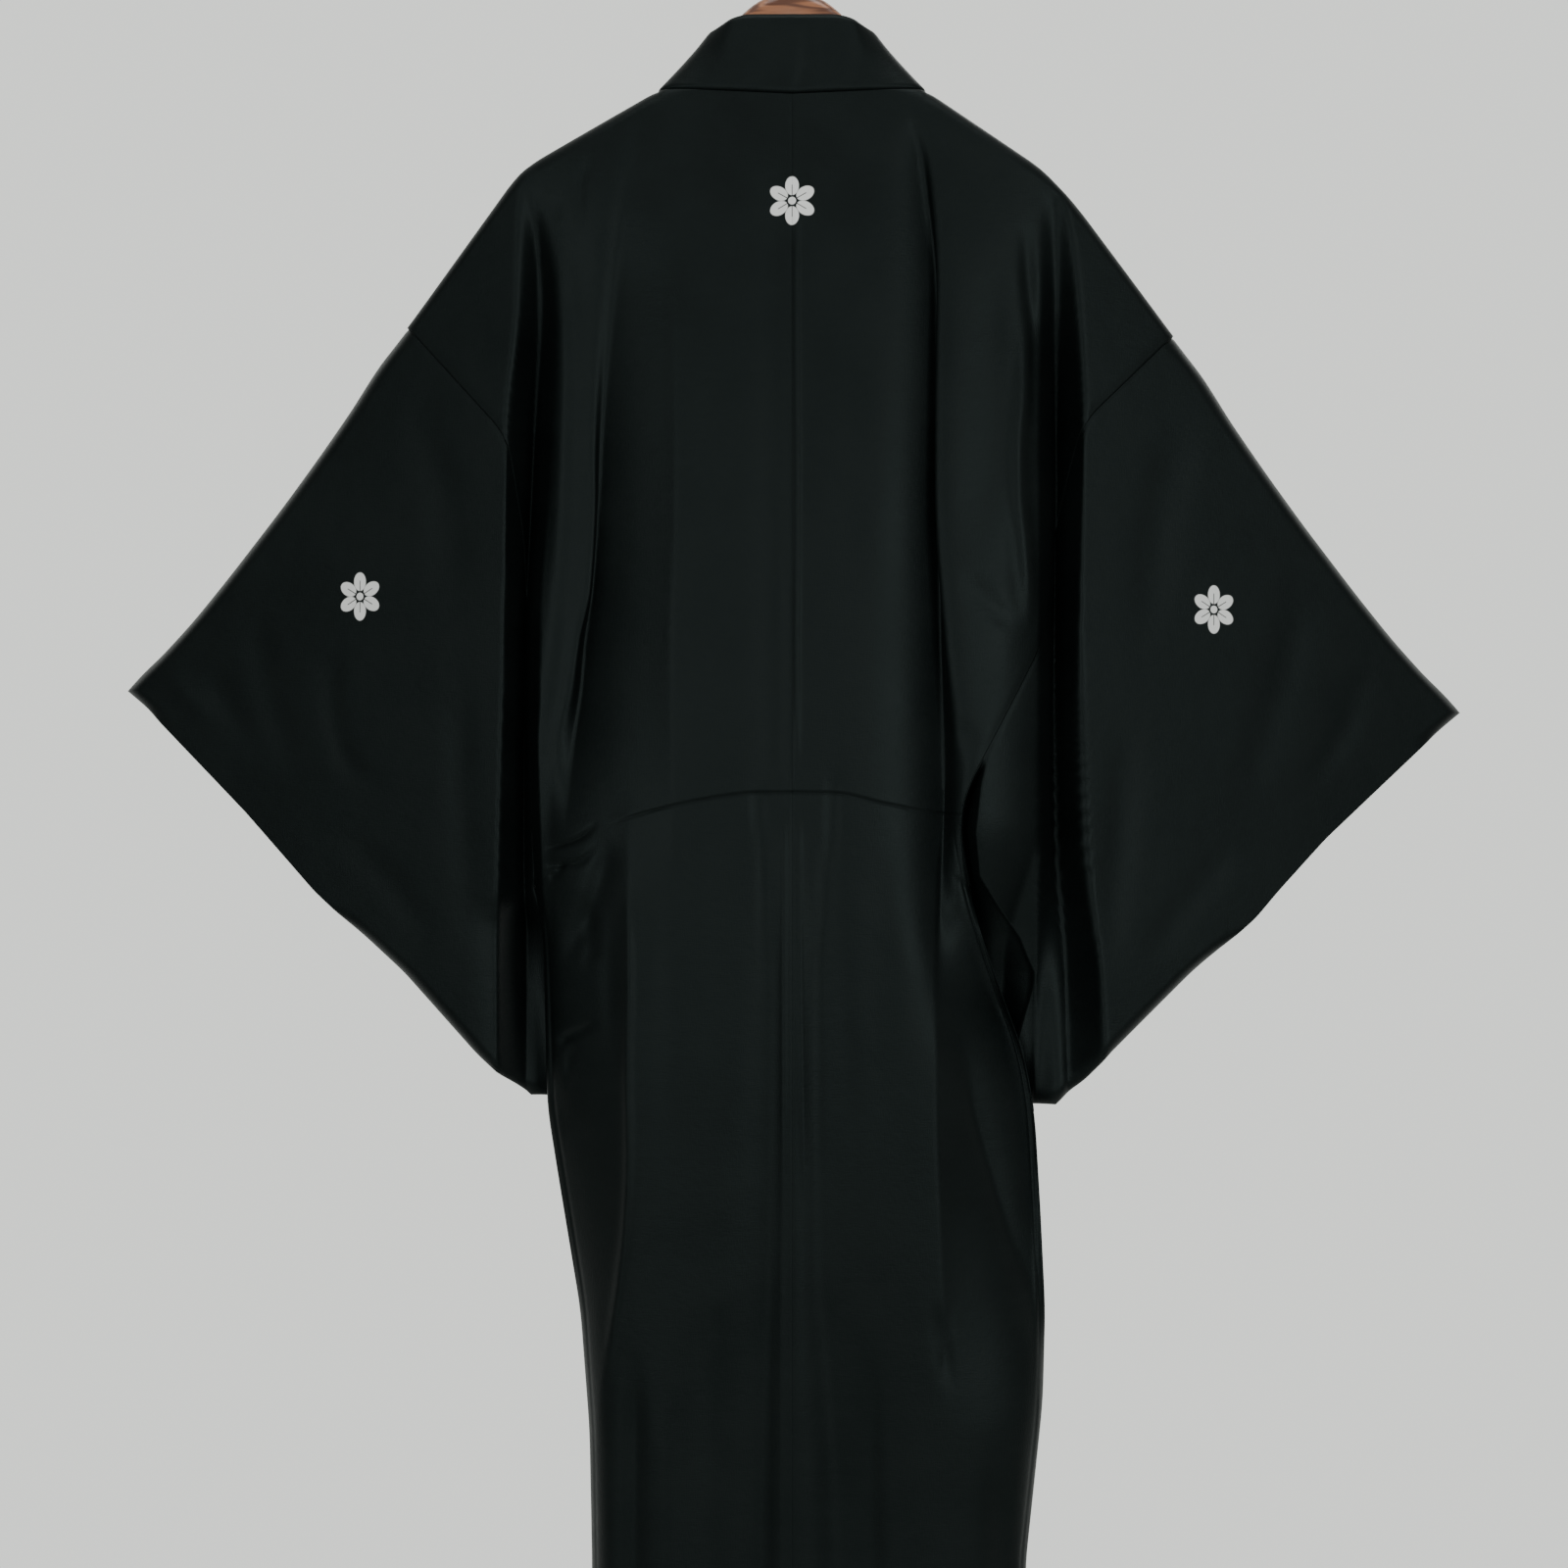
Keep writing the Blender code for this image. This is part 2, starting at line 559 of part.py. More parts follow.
def collar_sheet():
    """The collar: a band from one front edge, round the neck, to the other front edge."""
    halves = {}
    shares = (0.0, 0.33, 0.66, 1.0)
    for side, sign in SIDES.items():
        rows, along, last = [], 0.0, None
        for drop, point in collar_seam(side):
            along += 0.0 if last is None else float(np.linalg.norm(point - last))
            last = point
            free = np.array([np.interp(along, COLLAR_EDGE["along"], COLLAR_EDGE[name])
                             for name in ("out", "depth", "height")])
            straight = np.array([point + (free - point) * share for share in shares])
            if drop is None:
                rows.append(straight)
                continue
            laid = np.array([front_point(side, point[0] - COLLAR_WIDTH * share, drop - 0.007 * share)
                             for share in shares])
            rows.append(straight + (laid - straight) * float(smooth(0.15, 0.26, along)))
        band = np.array(rows)
        band[:, :, 0] *= sign
        halves[side] = pull_edge(band, "inner", COLLAR_PULL)
    return np.concatenate((halves["left"][::-1], halves["right"][1:]), axis=0)


def finish(name, colour, roughness, metallic=0.0):
    """A plain material."""
    material = bpy.data.materials.new(name)
    material.use_nodes = True
    shader = material.node_tree.nodes["Principled BSDF"]
    shader.inputs["Base Color"].default_value = (*colour, 1.0)
    shader.inputs["Roughness"].default_value = roughness
    shader.inputs["Metallic"].default_value = metallic
    material.diffuse_color = (*colour, 1.0)
    return material


def hanger_object(collection):
    """The hanger: an upright rounded bar that follows the shoulders from end to end."""
    outs = np.linspace(-HANGER_REACH["left"], HANGER_REACH["right"], 41)
    angles = np.linspace(0.0, 2.0 * math.pi, 12, endpoint=False)
    shell = bmesh.new()
    rings = []
    for out in outs:
        side = "left" if out < 0.0 else "right"
        hump = float(np.interp(abs(out), HANGER_HUMP["out"], HANGER_HUMP["top"]))
        arm = float(top_height(side, np.array(abs(out)))) - FOLD_RADIUS + HANGER_HALF_THICK
        top = hump if abs(out) < HANGER_HUMP["out"][-1] else arm
        tall = float(np.interp(abs(out), HANGER_TALL["out"], HANGER_TALL["tall"]))
        centre = top - tall / 2.0
        stretch = tall / 2.0 - HANGER_HALF_THICK
        ring = []
        for angle in angles:
            rise = HANGER_HALF_THICK * math.cos(angle)
            rise += stretch if rise >= 0.0 else -stretch
            ring.append(shell.verts.new((out, HANGER_HALF_THICK * math.sin(angle), centre + rise)))
        rings.append(ring)
    for first, second in zip(rings, rings[1:]):
        for index in range(len(angles)):
            after = (index + 1) % len(angles)
            shell.faces.new((first[index], first[after], second[after], second[index]))
    shell.faces.new(rings[0])
    shell.faces.new(rings[-1])
    bmesh.ops.recalc_face_normals(shell, faces=shell.faces)
    mesh = bpy.data.meshes.new("hanger")
    shell.to_mesh(mesh)
    shell.free()
    mesh.materials.append(finish("hanger_wood", (0.20, 0.09, 0.045), 0.35))
    mesh.shade_smooth()
    collection.objects.link(bpy.data.objects.new("hanger", mesh))


def hook_object(collection):
    """The wire hook: a shank from the hanger, then most of a circle round the rod."""
    centre = -HOOK_RADIUS + HOOK_WIRE
    points = [(0.0, HOOK_FOOT), (0.0, HOOK_FOOT + 0.006)]
    for degrees in range(-80, 196, 15):
        angle = math.radians(degrees)
        points.append((HOOK_RADIUS * math.cos(angle), centre + HOOK_RADIUS * math.sin(angle)))
    wire = bpy.data.curves.new("hanger_hook", "CURVE")
    wire.dimensions = "3D"
    wire.bevel_depth = HOOK_WIRE
    wire.bevel_resolution = 2
    wire.use_fill_caps = True
    line = wire.splines.new("POLY")
    line.points.add(len(points) - 1)
    for point, (across, height) in zip(line.points, points):
        point.co = (across, 0.0, height, 1.0)
    wire.materials.append(finish("hook_metal", (0.62, 0.60, 0.56), 0.25, 1.0))
    collection.objects.link(bpy.data.objects.new("hanger_hook", wire))


def main():
    """Clear the scene and build every piece."""
    for old in list(bpy.data.objects):
        bpy.data.objects.remove(old)
    kimono = bpy.data.collections.new("crested_kimono")
    bpy.context.scene.collection.children.link(kimono)
    black = (0.008, 0.010, 0.011)
    for side in SIDES:
        cloth_object("body_" + side, body_sheets(side), WALL, finish("silk_body_" + side, black, 0.5), kimono)
        cloth_object("okumi_" + side, (okumi_sheet(side),), WALL,
                     finish("silk_okumi_" + side, black, 0.5), kimono)
        cloth_object("sleeve_" + side, sleeve_sheets(side), WALL,
                     finish("silk_sleeve_" + side, black, 0.5), kimono)
    cloth_object("collar", (collar_sheet(),), COLLAR_WALL, finish("silk_collar", black, 0.5), kimono)
    hanger_object(kimono)
    hook_object(kimono)


main()
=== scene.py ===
import math

import bmesh
import bpy
import numpy as np
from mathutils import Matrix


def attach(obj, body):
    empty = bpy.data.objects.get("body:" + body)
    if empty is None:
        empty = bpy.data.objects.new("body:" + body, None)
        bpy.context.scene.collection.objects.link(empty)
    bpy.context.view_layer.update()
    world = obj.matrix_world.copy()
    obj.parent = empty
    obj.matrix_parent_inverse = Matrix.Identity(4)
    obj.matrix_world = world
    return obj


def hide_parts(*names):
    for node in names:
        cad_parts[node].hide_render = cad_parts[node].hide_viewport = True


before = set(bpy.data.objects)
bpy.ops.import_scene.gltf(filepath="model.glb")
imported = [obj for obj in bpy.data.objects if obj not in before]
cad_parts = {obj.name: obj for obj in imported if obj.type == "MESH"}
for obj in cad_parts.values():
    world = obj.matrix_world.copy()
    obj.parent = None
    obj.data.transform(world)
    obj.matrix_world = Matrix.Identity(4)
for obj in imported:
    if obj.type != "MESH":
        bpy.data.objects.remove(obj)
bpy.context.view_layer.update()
print("stage 1: frame loaded")

# A black crested kimono on a wooden hanger, seen from its back. Metres, +Z up, back toward -Y.
# "out" is the distance from the centre line, "drop" the cloth's length down from the shoulder.

cloth = {
    "wall": 0.0008,             # thickness of the lined silk
    "seamGap": 0.0003,          # gap between two pieces sewn together
    "foldRadius": 0.011,        # roundness of the shoulder fold
    "seamDip": 0.0011,          # how far a sewn seam draws in
    "seamWide": 0.0028,         # half width of that dip
    "wideSeam": 0.0009,         # depth of the groove beside the open side seam
    "wideSeamIn": 0.0048,       # how far in from the edge that groove runs
    "wideSeamHalf": 0.0011,
}
cut = {
    "length": 1.42,
    "collarWidth": 0.056,
    "neckHalfWidth": 0.100,
    "frontSeamOut": 0.065,
    "okumiDrop": 0.27,
    "collarEndDrop": 0.80,
    "collarEndPast": 0.075,
    "frontEdgePast": 0.085,
    "cuffOpening": 0.24,
}
hang = {
    "sleeveSweep": math.radians(20),
    "footReach": 0.030,         # how far out the left sleeve's foot bends toward the body
    "valleyPower": 1.2,
    "sleeveHalfGap": 0.016,
    "hemDroopKept": 0.55,       # share of the shoulder's fall that is left at the hem
    "underFront": 0.010,        # how far the right front lies inside the left one
    "leastBody": 0.16,          # least half width of the body's bulge below the armhole
    "rampEnd": (0.205, 0.178),  # where the ramps among the folds have ended, and start to end
    "backTurn": 0.016,          # how near its edge the back, then the front, turns to the seam
    "frontTurn": 0.024,
    "hemWave": 0.00144,
    "sewnRound": 0.018,         # how the sleeve's layers meet: where sewn, outside and at the foot
    "outerRound": 0.014,
    "footRound": 0.012,
}
rows = {    # drops between which the rows of the body lie closer or wider
    "count": 232,
    "shoulder": 0.024,
    "tuckFrom": 0.513,
    "tuckTo": 0.535,
    "hip": 0.14,
}
sides = {"left": -1.0, "right": 1.0}

valley = {      # the dip between the body and the sleeve
    "height": (-0.215, -0.3, -0.4, -0.68, -0.8, -0.9),
    "depth": (0.0, 0.018, 0.042, 0.042, 0.032, 0.02),
}
sleeveSag = {   # how far the sleeve's top edge hangs below a straight line, by the share along it
    "share": (0.0, 0.08, 0.21, 0.34, 0.47, 0.6, 0.73, 0.86, 0.95, 1.0),
    "sag": (0.0, 0.0, 0.007, 0.0112, 0.0132, 0.0135, 0.0124, 0.0078, 0.002, 0.0),
}
topEdge = {     # from the centre of the neck to the sleeve's tip
    "left": {"out": (0.0, 0.1, 0.192, 0.206, 0.291, 0.522),
             "height": (-0.1455, -0.141, -0.194, -0.205, -0.313, -0.585)},
    "right": {"out": (0.0, 0.1, 0.186, 0.213, 0.288, 0.526),
              "height": (-0.1455, -0.141, -0.199, -0.227, -0.32, -0.602)},
}
armhole = {     # seam between body and sleeve
    "left": {"out": (0.291, 0.212, 0.203, 0.199, 0.196, 0.194),
             "height": (-0.313, -0.4, -0.47, -0.585, -0.68, -0.735)},
    "right": {"out": (0.288, 0.216, 0.203, 0.186, 0.154, 0.13, 0.1235, 0.125, 0.131),
              "height": (-0.32, -0.39, -0.45, -0.553, -0.614, -0.658, -0.682, -0.705, -0.735)},
}
sleeveFoot = {  # closed foot of the sleeve, from the armhole to the rounded corner
    "left": {"out": (0.1945, 0.1885, 0.182, 0.178, 0.179, 0.183),
             "height": (-0.735, -0.755, -0.785, -0.82, -0.865, -0.893),
             "depth": (0.03, 0.032, 0.033, 0.033, 0.03, 0.028)},
    "right": {"out": (0.1304, 0.1325, 0.138, 0.148, 0.166, 0.178),
              "height": (-0.735, -0.76, -0.79, -0.825, -0.865, -0.899),
              "depth": (-0.02, 0.014, 0.024, 0.027, 0.027, 0.027)},
}
hollow = {      # dark opening between the body and the loose foot of the right sleeve
    "height": (-0.63, -0.658, -0.694, -0.7265, -0.748, -0.773, -0.802, -0.8236, -0.848),
    "out": (0.147, 0.139, 0.135, 0.1385, 0.1524, 0.1704, 0.1822, 0.1776, 0.17),
    "depth": 0.028,
    "half": 0.0012,
}
cuffEdge = {    # from the sleeve's tip to the rounded corner
    "left": {"out": (0.522, 0.5015, 0.4193, 0.3631, 0.34, 0.2937, 0.2358, 0.2188, 0.2062, 0.1975),
             "height": (-0.585, -0.6, -0.68, -0.74, -0.76, -0.8, -0.86, -0.875, -0.885, -0.893)},
    "right": {"out": (0.526, 0.5007, 0.4096, 0.3702, 0.3519, 0.3023, 0.2366, 0.2198, 0.2077, 0.1985),
              "height": (-0.602, -0.62, -0.7, -0.74, -0.76, -0.8, -0.86, -0.88, -0.89, -0.899)},
}
sideSeam = {    # from the foot of the armhole to the hem
    "left": {"out": (0.194, 0.187, 0.185, 0.183, 0.174, 0.158, 0.151, 0.149, 0.156),
             "height": (-0.735, -0.775, -0.83, -0.9, -0.955, -1.05, -1.14, -1.243, -1.6),
             "depth": (0.03, 0.016, 0.01, 0.006, 0.004, 0.002, 0.0, 0.0, 0.0)},
    "right": {"out": (0.131, 0.139, 0.148, 0.16, 0.171, 0.178, 0.182, 0.186, 0.189, 0.187, 0.174, 0.18),
              "height": (-0.735, -0.766, -0.791, -0.824, -0.852, -0.881, -0.91, -0.98, -1.05, -1.12,
                         -1.243, -1.6),
              "depth": (-0.02, -0.014, -0.008, -0.002, 0.002, 0.004, 0.004, 0.004, 0.002, 0.0, 0.0, 0.0)},
}
bodyWidth = {   # half width of the body, and where the sleeve's side of the valley lies
    "height": (-0.205, -0.29, -0.4, -0.585, -0.694, -0.804, -0.9),
    "leftBody": (0.19, 0.176, 0.18, 0.19, 0.188, 0.184, 0.182),
    "leftSleeve": (0.202, 0.203, 0.212, 0.215, 0.218, 0.22, 0.22),
    "rightBody": (0.186, 0.184, 0.184, 0.184, 0.184, 0.183, 0.183),
    "rightSleeve": (0.202, 0.212, 0.217, 0.213, 0.216, 0.23, 0.234),
}
bodyDepth = {   # half thickness of the body
    "height": (-0.15, -0.25, -0.45, -0.7, -1.0, -1.6),
    "back": (0.0135, 0.021, 0.032, 0.038, 0.042, 0.048),
    "front": (0.0135, 0.023, 0.036, 0.044, 0.048, 0.052),
}
# Long folds, each a run of heights with the out, the depth and the half widths toward the centre
# and toward the side at each height, and in some how far the outer side laps over
backFolds = {
    "right": (
        {"power": 1.3,
         "height": (-0.15, -0.162, -0.205, -0.298, -0.442, -0.55, -0.658, -0.73, -0.802, -0.874),
         "out": (0.088, 0.0893, 0.098, 0.108, 0.109, 0.1105, 0.113, 0.1105, 0.1065, 0.106),
         "depth": (0.0, 0.0008, 0.0085, 0.015, 0.02, 0.022, 0.023, 0.019, 0.006, 0.0),
         "inner": (0.006, 0.008, 0.013, 0.02, 0.023, 0.025, 0.024, 0.02, 0.011, 0.01),
         "outer": (0.006, 0.006, 0.008, 0.01, 0.01, 0.01, 0.01, 0.012, 0.014, 0.014),
         "over": (0.0, 0.0, 0.006, 0.015, 0.018, 0.012, 0.002, 0.0, 0.0, 0.0)},
        {"power": 1.0, "ramp": True, "height": (-0.68, -0.73, -0.79, -0.85, -0.91, -0.98, -1.04, -1.14),
         "out": (0.11, 0.1065, 0.105, 0.1055, 0.106, 0.108, 0.11, 0.112),
         "depth": (0.0, 0.009, 0.024, 0.031, 0.031, 0.026, 0.016, 0.0), "inner": 0.01,
         "outer": (0.012, 0.014, 0.024, 0.036, 0.04, 0.04, 0.036, 0.03)},
        {"power": 1.6, "height": (-0.83, -0.87, -0.91, -0.982, -1.04, -1.09),
         "out": (0.124, 0.13, 0.139, 0.16, 0.178, 0.186),
         "depth": (0.0, 0.003, 0.0045, 0.0045, 0.0035, 0.0),
         "inner": (0.012, 0.013, 0.015, 0.018, 0.02, 0.02), "outer": 0.012},
        {"power": 2.0, "height": (-0.69, -0.8, -0.9, -1.02, -1.09, -1.2, -1.6),
         "out": (0.026, 0.022, 0.021, 0.023, 0.029, 0.036, 0.039),
         "depth": (0.0, 0.0034, 0.0052, 0.0068, 0.0092, 0.011, 0.0115),
         "inner": (0.01, 0.01, 0.011, 0.012, 0.015, 0.018, 0.018),
         "outer": (0.01, 0.012, 0.016, 0.024, 0.028, 0.028, 0.028)},
    ),
    "left": (
        {"power": 1.2,
         "height": (-0.15, -0.1765, -0.227, -0.27, -0.335, -0.407, -0.457, -0.514, -0.55, -0.586, -0.63,
                    -0.7),
         "out": (0.11, 0.1138, 0.1245, 0.1303, 0.1375, 0.1425, 0.1447, 0.149, 0.1545, 0.1575, 0.1634, 0.168),
         "depth": (0.0, 0.0016, 0.0032, 0.005, 0.008, 0.012, 0.015, 0.0175, 0.0185, 0.0185, 0.015, 0.0),
         "inner": (0.014, 0.016, 0.018, 0.02, 0.021, 0.022, 0.024, 0.026, 0.028, 0.028, 0.03, 0.03),
         "outer": (0.009, 0.009, 0.009, 0.009, 0.008, 0.008, 0.008, 0.008, 0.009, 0.01, 0.011, 0.012),
         "over": (0.0, 0.0, 0.0, 0.0, 0.002, 0.006, 0.009, 0.01, 0.008, 0.006, 0.0, 0.0)},
        {"power": 1.0, "ramp": True, "height": (-0.19, -0.225, -0.3, -0.442, -0.55, -0.658, -0.74),
         "out": (0.084, 0.085, 0.086, 0.085, 0.089, 0.088, 0.087),
         "depth": (0.0, 0.0006, 0.0085, 0.0125, 0.013, 0.0105, 0.0), "inner": 0.01, "outer": 0.034},
        {"power": 1.0, "ramp": True,
         "height": (-0.65, -0.7, -0.76, -0.874, -0.931, -0.982, -1.032, -1.075, -1.12, -1.2),
         "out": (0.119, 0.12, 0.1205, 0.1205, 0.12, 0.1225, 0.128, 0.1355, 0.1425, 0.148),
         "depth": (0.0, 0.008, 0.0165, 0.02, 0.02, 0.0185, 0.015, 0.01, 0.005, 0.0), "inner": 0.01,
         "outer": (0.032, 0.032, 0.032, 0.032, 0.032, 0.03, 0.028, 0.026, 0.024, 0.024)},
        {"power": 2.0, "height": (-0.15, -0.25, -0.64, -0.69), "out": (0.012, 0.012, 0.012, 0.012),
         "depth": (0.0, 0.0018, 0.0022, 0.0), "inner": 0.009, "outer": 0.016},
        {"power": 2.0, "height": (-0.69, -0.8, -0.9, -1.02, -1.09, -1.2, -1.6),
         "out": (0.02, 0.017, 0.0165, 0.018, 0.0205, 0.023, 0.024),
         "depth": (0.0, 0.0026, 0.0042, 0.006, 0.008, 0.0092, 0.0096),
         "inner": (0.008, 0.008, 0.008, 0.008, 0.009, 0.01, 0.01),
         "outer": (0.012, 0.014, 0.018, 0.024, 0.028, 0.028, 0.028)},
    ),
}
frontFolds = {
    "right": (
        {"power": 2.0, "height": (-0.29, -0.39, -0.75, -1.6), "out": (0.118, 0.119, 0.124, 0.13),
         "depth": (0.0, 0.016, 0.018, 0.018), "inner": (0.014, 0.016, 0.014, 0.014),
         "outer": (0.014, 0.012, 0.014, 0.014)},
        {"power": 2.0, "height": (-0.89, -0.99, -1.25, -1.6), "out": (0.03, 0.031, 0.034, 0.036),
         "depth": (0.0, 0.008, 0.008, 0.008), "inner": 0.02, "outer": 0.02},
    ),
    "left": (
        {"power": 2.0, "height": (-0.34, -0.44, -0.8, -1.6), "out": (0.136, 0.134, 0.13, 0.122),
         "depth": (0.0, 0.018, 0.02, 0.02), "inner": (0.014, 0.016, 0.014, 0.014),
         "outer": (0.014, 0.012, 0.014, 0.014)},
        {"power": 2.0, "height": (-0.84, -0.94, -1.2, -1.6), "out": (0.041, 0.04, 0.036, 0.034),
         "depth": (0.0, 0.008, 0.008, 0.008), "inner": 0.02, "outer": 0.02},
    ),
}
collarEdge = {  # free edge of the collar round the neck, by the length along the band
    "along": (0.0, 0.034, 0.05, 0.088, 0.104, 0.118, 0.148, 0.19),
    "out": (0.0, 0.035, 0.0455, 0.06, 0.068, 0.069, 0.057, 0.04),
    "depth": (-0.0145, -0.014, -0.0135, 0.0, 0.014, 0.025, 0.03, 0.028),
    "height": (-0.0865, -0.0865, -0.0895, -0.096, -0.105, -0.117, -0.156, -0.208),
}

